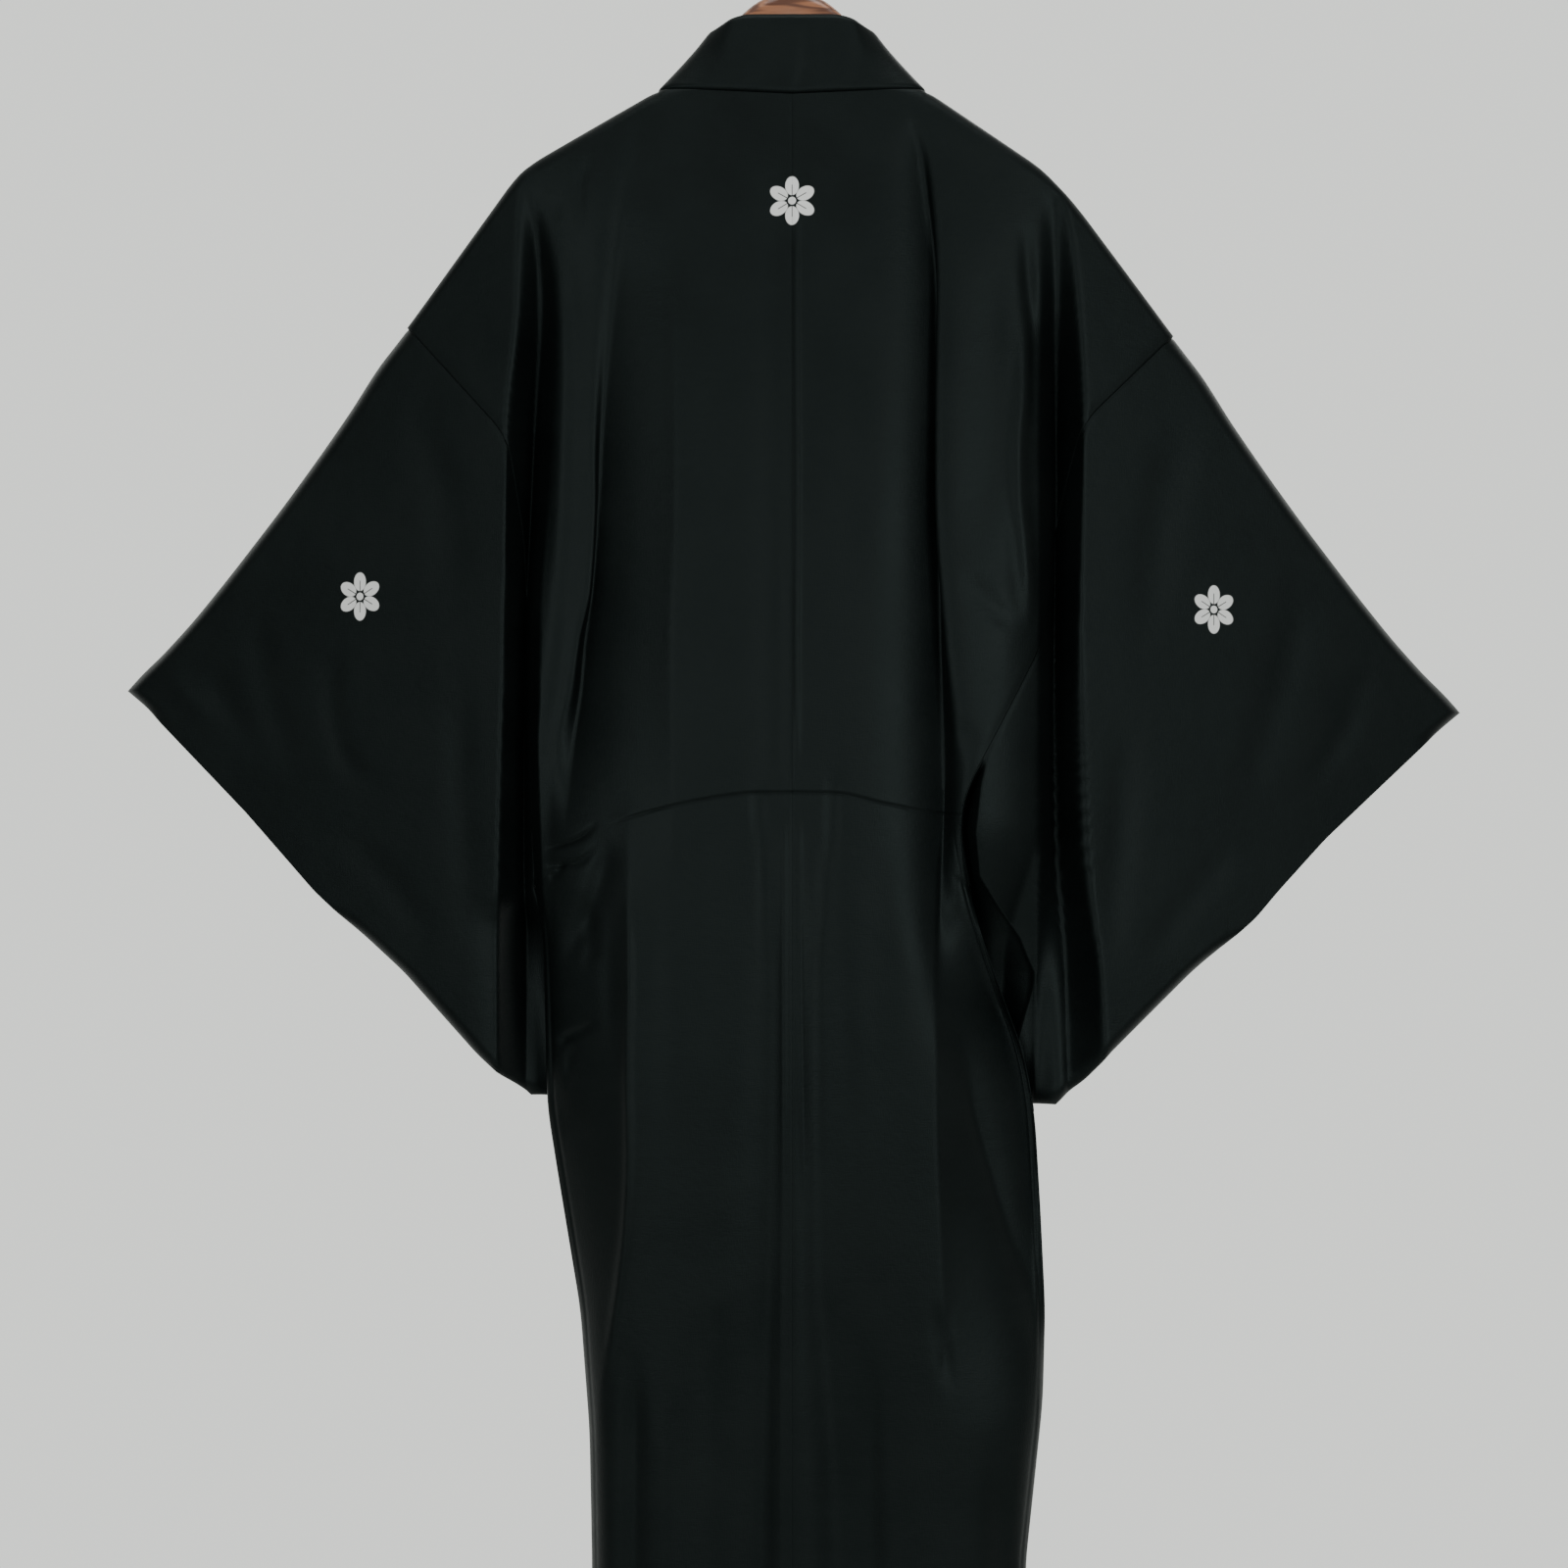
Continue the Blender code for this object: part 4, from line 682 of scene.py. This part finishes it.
# A sleeve: a back and a front layer half a thickness from the middle, closed where it is sewn
def sleeveSheets(side):
    sign = sides[side]
    foot = armhole[side]["height"][-1]
    bottom = sleeveFoot[side]["height"][-1]
    top, tip = topEdge[side]["height"][-2], topEdge[side]["height"][-1]
    cuffEnd = tip - cut["cuffOpening"] * 0.68
    low = bottom + 0.02
    heights = np.concatenate((
        top + (tip - top) * (np.arange(64) / 64.0) ** 1.15,
        np.linspace(tip, foot, 42)[:-1],
        np.linspace(foot, low, 46)[:-1],
        bottom + (low - bottom) * (1.0 - np.linspace(0.0, 1.0, 16)) ** 2,
    ))
    edgeOuts = np.linspace(topEdge[side]["out"][-2], topEdge[side]["out"][-1], 400)
    inner = np.where(heights > foot + 1e-7, armholeOut(side, heights),
                     line(heights, sleeveFoot[side]["height"], sleeveFoot[side]["out"], 0.010))
    outer = np.where(heights > tip, np.interp(-heights, -topHeight(side, edgeOuts), edgeOuts),
                     line(heights, cuffEdge[side]["height"], cuffEdge[side]["out"], 0.004))
    inner[0] = outer[0] = topEdge[side]["out"][-2]
    level, inner, outer = heights[:, None], inner[:, None], outer[:, None]
    lip = np.interp(-level, -np.array(hollow["height"]), hollow["out"]) if side == "right" else inner
    gap = np.minimum(np.maximum(lip - inner, 0.004), 0.25 * (outer - inner) + 0.00001)
    half = np.minimum(hollow["half"], 0.4 * gap)
    share = endShares(70)
    share = (0.7 * share + 0.3 * share * share)[None, :]
    across = np.concatenate((
        inner + (gap - half) * np.linspace(0.0, 1.0, 18)[None, :-1],
        inner + gap + half * np.linspace(-1.0, 1.0, 6)[None, :-1],
        inner + gap + half + (outer - inner - gap - half) * share,
    ), axis=1)
    radius = cloth["foldRadius"]
    thick = radius + (hang["sleeveHalfGap"] - radius) * smooth(0.215, 0.30, across)
    centre = seamMiddle(side, across, level) + (thick - radius)
    opening = armholeOpenness(side, level)
    innerShare = opening + (1.0 - opening) * rounding(across - inner, hang["sewnRound"])
    cuff = smooth(tip, tip - 0.03, level) * smooth(cuffEnd - 0.03, cuffEnd, level)
    outerShare = cuff + (1.0 - cuff) * rounding(outer - across, hang["outerRound"])
    full = innerShare * outerShare * rounding(level - bottom, hang["footRound"])
    full = full * np.where(level > foot, topShare(side, across, level), 1.0)
    reach = np.exp(-(across - inner) / 0.01)
    atFoot = float(sideDepth(side, foot)) - centre[:, :1]
    centre = centre + atFoot * reach * np.exp(-((level - foot) / 0.006) ** 2) * (level >= foot)
    aim = line(level, sleeveFoot[side]["height"], sleeveFoot[side]["depth"], 0.008)
    toFoot = (aim - centre[:, :1]) * smooth(foot, foot - 0.03, level)
    if side == "right":
        deep = hollow["depth"] * smooth(0.004, 0.009, gap) * smooth(0.0, 0.0035, across - inner)
        inside = smooth(gap + half, gap - half, across - inner)
        inside = inside * (1.0 - 0.92 * np.clip((across - inner) / gap, 0.0, 1.0))
        centre = centre + inside * np.maximum(toFoot, deep)
    else:
        centre = centre + toFoot * np.exp(-(((across - inner) / hang["footReach"]) ** 2))
    free = smooth(0.0, 0.014, across - inner) * smooth(0.0, 0.02, outer - across)
    fine = creaseRelief(side + "Sleeve", across, level) * free * smooth(0.0, 0.02, level - bottom)
    dip = 0.6 * cloth["seamDip"] * np.exp(-(((across - inner) / cloth["seamWide"]) ** 2)) * (level > foot)
    across[:, 0] += cloth["seamGap"]
    levels = np.broadcast_to(level, across.shape)
    back = np.stack((sign * across, centre - thick * full + fine + dip, levels), axis=-1)
    front = np.stack((sign * across, centre + thick * full + fine * 0.8, levels), axis=-1)
    wide = across / math.cos(hang["sleeveSweep"])
    backMap = np.stack((sign * wide, np.broadcast_to(level, wide.shape)), axis=-1)
    return (back, front), (backMap, backMap + np.array((0.0, 3.0)))


# Half of the collar: from its seam straight to its free edge round the neck, and below that
# laid on the front surface, changing over with the length along the band
def collarHalf(side):
    neckOuts = cut["neckHalfWidth"] * 0.99 * np.sin(np.linspace(0.0, np.pi / 2.0, 44)[:-1])
    neckDepths = -bodyDepth["back"][0] * np.sqrt(1.0 - (neckOuts / cut["neckHalfWidth"]) ** 8)
    neck = np.stack((neckOuts, neckDepths, topHeight(side, neckOuts)), axis=-1)
    drops = np.concatenate((0.03 * np.linspace(0.0, 1.0, 12)[:-1] ** 2,
                            np.linspace(0.03, cut["collarEndDrop"], 130)))
    outs = np.where(
        drops < cut["okumiDrop"],
        np.interp(drops, (0.0, cut["okumiDrop"]), (cut["neckHalfWidth"], cut["frontSeamOut"])),
        np.interp(drops, (cut["okumiDrop"], cut["collarEndDrop"]),
                  (cut["frontSeamOut"], -cut["collarEndPast"])),
    )
    seam = np.concatenate((neck, frontPoints(side, outs, drops)))
    steps = np.linalg.norm(np.diff(seam, axis=0), axis=1)
    along = np.concatenate(([0.0], np.cumsum(steps)))
    free = [line(along, collarEdge["along"], collarEdge[key], 0.006) for key in ("out", "depth", "height")]
    free = np.stack(free, axis=-1)
    share = np.linspace(0.0, 1.0, 22)[None, :, None]
    band = seam[:, None, :] + (free - seam)[:, None, :] * share
    laidOuts = outs[:, None] - cut["collarWidth"] * share[:, :, 0]
    laid = frontPoints(side, laidOuts, drops[:, None] - 0.007 * share[:, :, 0])
    count = neck.shape[0]
    blend = smooth(0.15, 0.26, along[count:])[:, None, None]
    band[count:] = band[count:] + (laid - band[count:]) * blend
    band[:, :, 0] *= sides[side]
    return band, along * sides[side]


collarLook = {
    "halfThick": 0.0015,        # half of the folded band
    "edgeRound": 0.0032,        # how far in from its edges it rounds
    "creases": (                # place along the band, depth and half width
        (0.004, 0.0012, 0.004), (-0.013, 0.0007, 0.005),
        (-0.022, 0.0006, 0.005), (0.046, 0.0005, 0.006),
    ),
}


# The collar: the band's middle, and a face on each side of it along the surface's own normal
def collarSheets():
    left, leftAlong = collarHalf("left")
    right, rightAlong = collarHalf("right")
    band = np.concatenate((left[::-1], right[1:]))
    along = np.concatenate((leftAlong[::-1], rightAlong[1:]))[:, None]
    lengthways = np.gradient(band, axis=0)
    crossways = np.gradient(band, axis=1)
    normal = np.cross(lengthways, crossways)
    normal = normal / np.maximum(np.linalg.norm(normal, axis=-1, keepdims=True), 1e-12)
    share = np.linspace(0.0, 1.0, band.shape[1])[None, :]
    toEdge = np.minimum(share, 1.0 - share) * cut["collarWidth"]
    toEnd = np.minimum(along - along[0], along[-1] - along)
    thick = collarLook["halfThick"] * rounding(toEdge, collarLook["edgeRound"]) * rounding(toEnd, 0.004)
    inward = np.zeros(thick.shape)
    for place, depth, width in collarLook["creases"]:
        bend = place + 0.006 * np.sin(3.0 * share)
        inward = inward + depth * np.exp(-(((along - bend) / width) ** 2)) * smooth(1.05, 0.2, share)
    band = band.copy()
    band[:, :, 1] += inward * smooth(0.0, 0.15, share)
    chart = np.stack(np.broadcast_arrays(along, share * cut["collarWidth"] + 6.0), axis=-1)
    wall = normal * thick[..., None]
    return (band + wall, band - wall), (chart, chart)


# Shader maths: a wrapped socket whose operators add Math nodes
class Value:
    def __init__(self, graph, socket):
        self.graph = graph
        self.socket = socket

    def alone(self, operation):
        return self.join(operation, self)

    def join(self, operation, first, second=None, clamp=False):
        given = {0: first} if second is None else {0: first, 1: second}
        node = self.graph.add("ShaderNodeMath", {"operation": operation, "use_clamp": clamp}, given)
        return Value(self.graph, node.outputs[0])

    def __add__(self, other):
        return self.join("ADD", self, other)

    def __radd__(self, other):
        return self.join("ADD", other, self)

    def __sub__(self, other):
        return self.join("SUBTRACT", self, other)

    def __rsub__(self, other):
        return self.join("SUBTRACT", other, self)

    def __mul__(self, other):
        return self.join("MULTIPLY", self, other)

    def __rmul__(self, other):
        return self.join("MULTIPLY", other, self)

    def __truediv__(self, other):
        return self.join("DIVIDE", self, other)

    def __pow__(self, other):
        return self.join("POWER", self, other)


class Graph:
    def __init__(self, name):
        self.material = bpy.data.materials.new(name)
        self.material.use_nodes = True
        self.tree = self.material.node_tree
        self.shader = self.tree.nodes["Principled BSDF"]

    # Adds one node: its settings first, then the values or links of its sockets
    def add(self, kind, settings=None, sockets=None):
        node = self.tree.nodes.new(kind)
        for key, value in (settings or {}).items():
            setattr(node, key, value)
        for key, value in (sockets or {}).items():
            self.put(node, key, value)
        return node

    def put(self, node, key, value):
        if isinstance(value, Value):
            value = value.socket
        if isinstance(value, bpy.types.NodeSocket):
            self.tree.links.new(value, node.inputs[key])
        else:
            node.inputs[key].default_value = value

    def feed(self, key, value):
        self.put(self.shader, key, value)

    def step(self, value, low, high):
        node = self.add("ShaderNodeMapRange", {"interpolation_type": "SMOOTHSTEP", "clamp": True},
                        {"Value": value, "From Min": low, "From Max": high})
        return Value(self, node.outputs["Result"])

    def noise(self, vector, scale, detail=3.0, roughness=0.5):
        node = self.add("ShaderNodeTexNoise", None,
                        {"Vector": vector, "Scale": scale, "Detail": detail, "Roughness": roughness})
        return Value(self, node.outputs["Fac"])

    def colour(self, value):
        return (*value, 1.0) if isinstance(value, tuple) else value

    def mix(self, factor, first, second):
        node = self.add("ShaderNodeMix", {"data_type": "RGBA"}, {"Factor": factor})
        self.put(node, 6, self.colour(first))
        self.put(node, 7, self.colour(second))
        return node.outputs[2]

    def bump(self, height, distance, strength):
        node = self.add("ShaderNodeBump", None,
                        {"Height": height, "Distance": distance, "Strength": strength})
        self.feed("Normal", node.outputs["Normal"])


# A crest is a plain flower of six round petals, each an ellipse turned round its centre
crest = {
    "colour": (0.76, 0.77, 0.75),
    "petalPlace": 0.0112,
    "petalLong": 0.0070,
    "petalWide": 0.0050,
    "centre": 0.0029,
    "edge": 0.00035,
    "vein": (0.0001, 0.0005),       # half width of a petal's line, where it ends and has ended
    "veinEnd": (0.0115, 0.0125),
    "back": (0.0, -0.226),
    "chestOut": 0.120,
    "chestHeight": -0.300,
    "leftSleeve": (-0.327, -0.516),
    "rightSleeve": (0.319, -0.526),
}


def crestMask(graph, across, up, place):
    x, y = across - place[0], up - place[1]
    far = (x * x + y * y).alone("SQRT")
    angle = x.join("ARCTAN2", x, y)
    sixth = math.pi / 3.0
    turned = angle.join("PINGPONG", angle, sixth / 2.0)
    along = far * turned.alone("COSINE")
    beside = far * turned.alone("SINE")
    reach = (along - crest["petalPlace"]) / crest["petalLong"]
    width = beside / crest["petalWide"]
    size = (reach * reach + width * width).alone("SQRT")
    soft = crest["edge"] / crest["petalWide"]
    petals = graph.step(size, 1.0 + soft, 1.0 - soft)
    vein = graph.step(beside, *crest["vein"])
    vein = vein.join("MAXIMUM", vein, graph.step(along, *crest["veinEnd"]))
    middle = graph.step(far, crest["centre"] + crest["edge"], crest["centre"] - crest["edge"])
    whole = petals * vein
    return whole.join("MAXIMUM", whole, middle, True)


silk = {
    "deep": (0.0018, 0.0026, 0.0026),
    "light": (0.0034, 0.0046, 0.0045),
    "roughness": 0.50,
    "specular": 0.15,
    "reflected": (0.78, 1.0, 0.97),
    "sheen": 0.005,
    "sheenColour": (0.50, 0.62, 0.60),
    "weave": 1150.0,
}


# Black silk: a fine uneven weave with faint long slubs, slightly smoother where it is rubbed
def silkMaterial(name, crests):
    graph = Graph(name)
    chart = graph.add("ShaderNodeUVMap", {"uv_map": "flatCloth"})
    flat = chart.outputs["UV"]
    split = graph.add("ShaderNodeSeparateXYZ", None, {"Vector": flat})
    across, up = Value(graph, split.outputs["X"]), Value(graph, split.outputs["Y"])
    threads = graph.add("ShaderNodeMapping", None, {"Vector": flat, "Scale": (1.0, 0.16, 1.0)})
    picks = graph.add("ShaderNodeMapping", None, {"Vector": flat, "Scale": (0.22, 1.0, 1.0)})
    warp = graph.noise(threads.outputs["Vector"], silk["weave"], 2.0)
    weft = graph.noise(picks.outputs["Vector"], silk["weave"] * 0.8, 2.0)
    slub = graph.noise(picks.outputs["Vector"], 240.0, 3.0, 0.6)
    cloud = graph.noise(flat, 14.0, 4.0, 0.55)
    soft = graph.noise(flat, 55.0, 3.0, 0.5)
    tone = graph.step(cloud * 0.6 + warp * 0.25 + slub * 0.15, 0.36, 0.66)
    base = graph.mix(tone, silk["deep"], silk["light"])
    mask = None
    for place in crests:
        one = crestMask(graph, across, up, place)
        mask = one if mask is None else mask.join("MAXIMUM", mask, one)
    rough = silk["roughness"] + (cloud - 0.5) * 0.16 + (warp - 0.5) * 0.10
    if mask is not None:
        base = graph.mix(mask, base, crest["colour"])
        rough = rough + mask * 0.2
    graph.feed("Base Color", base)
    graph.feed("Roughness", rough)
    graph.feed("Specular IOR Level", silk["specular"])
    graph.feed("Specular Tint", (*silk["reflected"], 1.0))
    graph.feed("Sheen Weight", silk["sheen"])
    graph.feed("Sheen Roughness", 0.4)
    graph.feed("Sheen Tint", (*silk["sheenColour"], 1.0))
    graph.bump(warp * 0.35 + weft * 0.35 + slub * 0.25 + soft * 0.9, 0.0011, 0.32)
    graph.material.diffuse_color = (*silk["light"], 1.0)
    return graph.material


# Reddish wood: long grain along the arm, darker pores and a thin clear coat
def woodMaterial():
    graph = Graph("hangerWood")
    place = graph.add("ShaderNodeTexCoord").outputs["Object"]
    long = graph.add("ShaderNodeMapping", None, {"Vector": place, "Scale": (0.10, 1.0, 1.0)})
    grain = graph.noise(long.outputs["Vector"], 420.0, 5.0, 0.62)
    rings = graph.noise(long.outputs["Vector"], 90.0, 2.0, 0.5)
    bands = (rings * 46.0).alone("SINE") * 0.5 + 0.5
    tone = graph.step(bands * 0.55 + grain * 0.6, 0.25, 0.95)
    graph.feed("Base Color", graph.mix(tone, (0.105, 0.036, 0.016), (0.330, 0.135, 0.062)))
    graph.feed("Roughness", 0.34 + grain * 0.14)
    graph.feed("Coat Weight", 0.35)
    graph.feed("Coat Roughness", 0.18)
    graph.bump(grain, 0.0008, 0.25)
    return graph.material


# Steel wire: fine drawing marks along it
def hookMaterial():
    graph = Graph("hookSteel")
    place = graph.add("ShaderNodeTexCoord").outputs["Object"]
    marks = graph.noise(place, 900.0, 3.0, 0.6)
    graph.feed("Base Color", graph.mix(marks, (0.52, 0.51, 0.49), (0.70, 0.69, 0.66)))
    graph.feed("Roughness", 0.20 + marks * 0.16)
    graph.feed("Metallic", 1.0)
    graph.bump(marks, 0.0003, 0.15)
    return graph.material


wood = {
    "humpOut": (0.0, 0.022, 0.040, 0.060, 0.080, 0.096, 0.110),
    "humpTop": (-0.064, -0.072, -0.086, -0.113, -0.1365, -0.1455, -0.1485),
    "tallOut": (0.0, 0.060, 0.180),
    "tall": (0.027, 0.032, 0.019),
    "reachLeft": 0.185,
    "reachRight": 0.179,
    "halfThick": 0.0094,
    "endRound": 0.008,
}
hook = {"wire": 0.002, "radius": 0.024, "foot": -0.0646}


# The hanger: a rounded upright profile carried along the shoulders, drawn in at both ends
def hangerSheet():
    outs = -wood["reachLeft"] + (wood["reachLeft"] + wood["reachRight"]) * endShares(181, 0.35)[:, None]
    angle = np.linspace(0.0, 2.0 * np.pi, 37)[None, :]
    far = np.abs(outs)
    hump = curve(far, wood["humpOut"], wood["humpTop"])
    shoulder = np.where(outs < 0.0, topHeight("left", far), topHeight("right", far))
    arm = shoulder - cloth["foldRadius"] + wood["halfThick"]
    top = np.where(far < wood["humpOut"][-1], hump, arm)
    tall = curve(far, wood["tallOut"], wood["tall"])
    toEnd = np.minimum(outs + wood["reachLeft"], wood["reachRight"] - outs)
    size = rounding(toEnd, wood["endRound"])
    half = wood["halfThick"]
    rise = half * np.cos(angle) + np.sign(np.cos(angle) + 1e-9) * (tall / 2.0 - half)
    depth = half * np.sin(angle) * np.broadcast_to(size, (outs.size, angle.size))
    grid = np.stack((np.broadcast_to(outs, depth.shape), depth, top - tall / 2.0 + rise * size), axis=-1)
    return grid, grid[..., [0, 2]]


# The hook: a round wire carried along its shank and most of a circle round the rod
def hookSheet():
    angles = np.radians(np.arange(-80.0, 196.0, 15.0))
    centre = hook["wire"] - hook["radius"]
    across = np.concatenate(([0.0, 0.0], hook["radius"] * np.cos(angles)))
    up = np.concatenate(([hook["foot"], hook["foot"] + 0.006], centre + hook["radius"] * np.sin(angles)))
    length = np.concatenate(([0.0], np.cumsum(np.hypot(np.diff(across), np.diff(up)))))
    at = np.linspace(0.0, length[-1], 150)
    x, z = curve(at, length, across), curve(at, length, up)
    slopeX, slopeZ = np.gradient(x, at), np.gradient(z, at)
    size = hook["wire"] * rounding(np.minimum(at, length[-1] - at), hook["wire"])[:, None]
    turn = np.linspace(0.0, 2.0 * np.pi, 21)[None, :]
    norm = np.hypot(slopeX, slopeZ)[:, None]
    side = size * np.cos(turn)
    grid = np.stack((x[:, None] - slopeZ[:, None] / norm * side, size * np.sin(turn),
                     z[:, None] + slopeX[:, None] / norm * side), axis=-1)
    return grid, grid[..., [0, 2]]


def dress(piece, node):
    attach(piece, "root")
    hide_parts(node)


# The crests' places on the flat cloth: the front lies 3 m up the map, and a sleeve is swept back
def crestPlaces(part, side):
    chest = (sides[side] * crest["chestOut"], crest["chestHeight"] + 3.0)
    out, height = crest[side + "Sleeve"]
    sleeve = (out / math.cos(hang["sleeveSweep"]), height)
    return {"body": (crest["back"], chest), "sleeve": (sleeve,), "okumi": ()}[part]


print("stage 2: cloth")
for side in sides:
    for part, sheets in (("body", bodySheets), ("sleeve", sleeveSheets), ("okumi", okumiSheet)):
        grids, maps = sheets(side)
        title = side.capitalize()
        material = silkMaterial("silk" + part.capitalize() + title, crestPlaces(part, side))
        piece = gridPiece(part + "Cloth" + title, grids, maps, material, cloth["wall"])
        dress(piece, part + "_" + side)
grids, maps = collarSheets()
dress(gridPiece("collarCloth", grids, maps, silkMaterial("silkCollar", ())), "collar")

print("stage 3: hanger")
grid, chart = hangerSheet()
dress(gridPiece("hangerBar", (grid,), (chart,), woodMaterial()), "hanger")
grid, chart = hookSheet()
dress(gridPiece("hookWire", (grid,), (chart,), hookMaterial()), "hanger_hook")

print("stage 4: studio")
studio = {
    "background": (1.130, 1.160, 1.110),
    "front": (0.22, 0.23, 0.22),
    "floorHeight": -1.600,
    "floorRadius": 1.22,
    "floorColour": (0.62, 0.63, 0.61),
    "camera": (-0.006, -2.2, -0.658),
    "lens": 67.6,
}


# The floor: rings of a flat disc
def floorSheet():
    far = np.linspace(0.0, studio["floorRadius"], 12)[:, None]
    angle = np.linspace(0.0, 2.0 * np.pi, 97)[None, :]
    x, y = far * np.cos(angle), far * np.sin(angle)
    grid = np.stack((x, y, np.full(x.shape, studio["floorHeight"])), axis=-1)
    return grid, grid[..., :2]


graph = Graph("paleFloor")
dust = graph.noise(graph.add("ShaderNodeTexCoord").outputs["Object"], 30.0, 4.0)
graph.feed("Base Color", graph.mix(dust, studio["floorColour"], (0.65, 0.66, 0.64)))
graph.feed("Roughness", 0.8)
grid, chart = floorSheet()
gridPiece("floor", (grid,), (chart,), graph.material)

# The room: bright behind the garment and dimmer on the viewer's side, by a direction's own Y
world = bpy.data.worlds.new("studio")
world.use_nodes = True
tree = world.node_tree
facing = tree.nodes.new("ShaderNodeTexCoord")
parts = tree.nodes.new("ShaderNodeSeparateXYZ")
blend = tree.nodes.new("ShaderNodeMapRange")
shade = tree.nodes.new("ShaderNodeMix")
blend.interpolation_type = "SMOOTHSTEP"
blend.inputs["From Min"].default_value = -0.2
blend.inputs["From Max"].default_value = 0.7
shade.data_type = "RGBA"
shade.inputs[6].default_value = (*studio["front"], 1.0)
shade.inputs[7].default_value = (*studio["background"], 1.0)
tree.links.new(facing.outputs["Generated"], parts.inputs["Vector"])
tree.links.new(parts.outputs["Y"], blend.inputs["Value"])
tree.links.new(blend.outputs["Result"], shade.inputs["Factor"])
tree.links.new(shade.outputs[2], tree.nodes["Background"].inputs["Color"])
bpy.context.scene.world = world

lamps = (   # name, place, aim, size, power
    ("topLamp", (0.1, -0.7, 1.6), (0.0, 0.0, -0.3), 1.2, 24.0),
    ("leftLamp", (-1.28, -2.45, -0.5), (0.0, 0.0, -0.8), 1.2, 21.0),
    ("frontLamp", (0.1, -2.8, -0.5), (0.0, 0.0, -0.8), 0.9, 3.0),
    ("rightLamp", (1.42, -2.4, -0.4), (0.0, 0.0, -0.8), 1.2, 29.0),
    ("backLamp", (0.3, 2.0, 0.6), (0.0, 0.0, -0.7), 1.4, 16.0),
)
for name, place, aim, size, power in lamps:
    light = bpy.data.lights.new(name, "AREA")
    light.size = size
    light.energy = power
    lamp = bpy.data.objects.new(name, light)
    lamp.location = place
    away = np.array(place) - np.array(aim)
    lamp.rotation_euler = (math.atan2(math.hypot(away[0], away[1]), away[2]), 0.0,
                           math.atan2(away[0], -away[1]))
    bpy.context.scene.collection.objects.link(lamp)

camera = bpy.data.cameras.new("camera")
camera.lens = studio["lens"]
camera.sensor_width = 36.0
viewer = bpy.data.objects.new("camera", camera)
viewer.location = studio["camera"]
viewer.rotation_euler = (math.radians(90.0), 0.0, 0.0)
bpy.context.scene.collection.objects.link(viewer)
bpy.context.scene.camera = viewer

print("stage 5: finish")
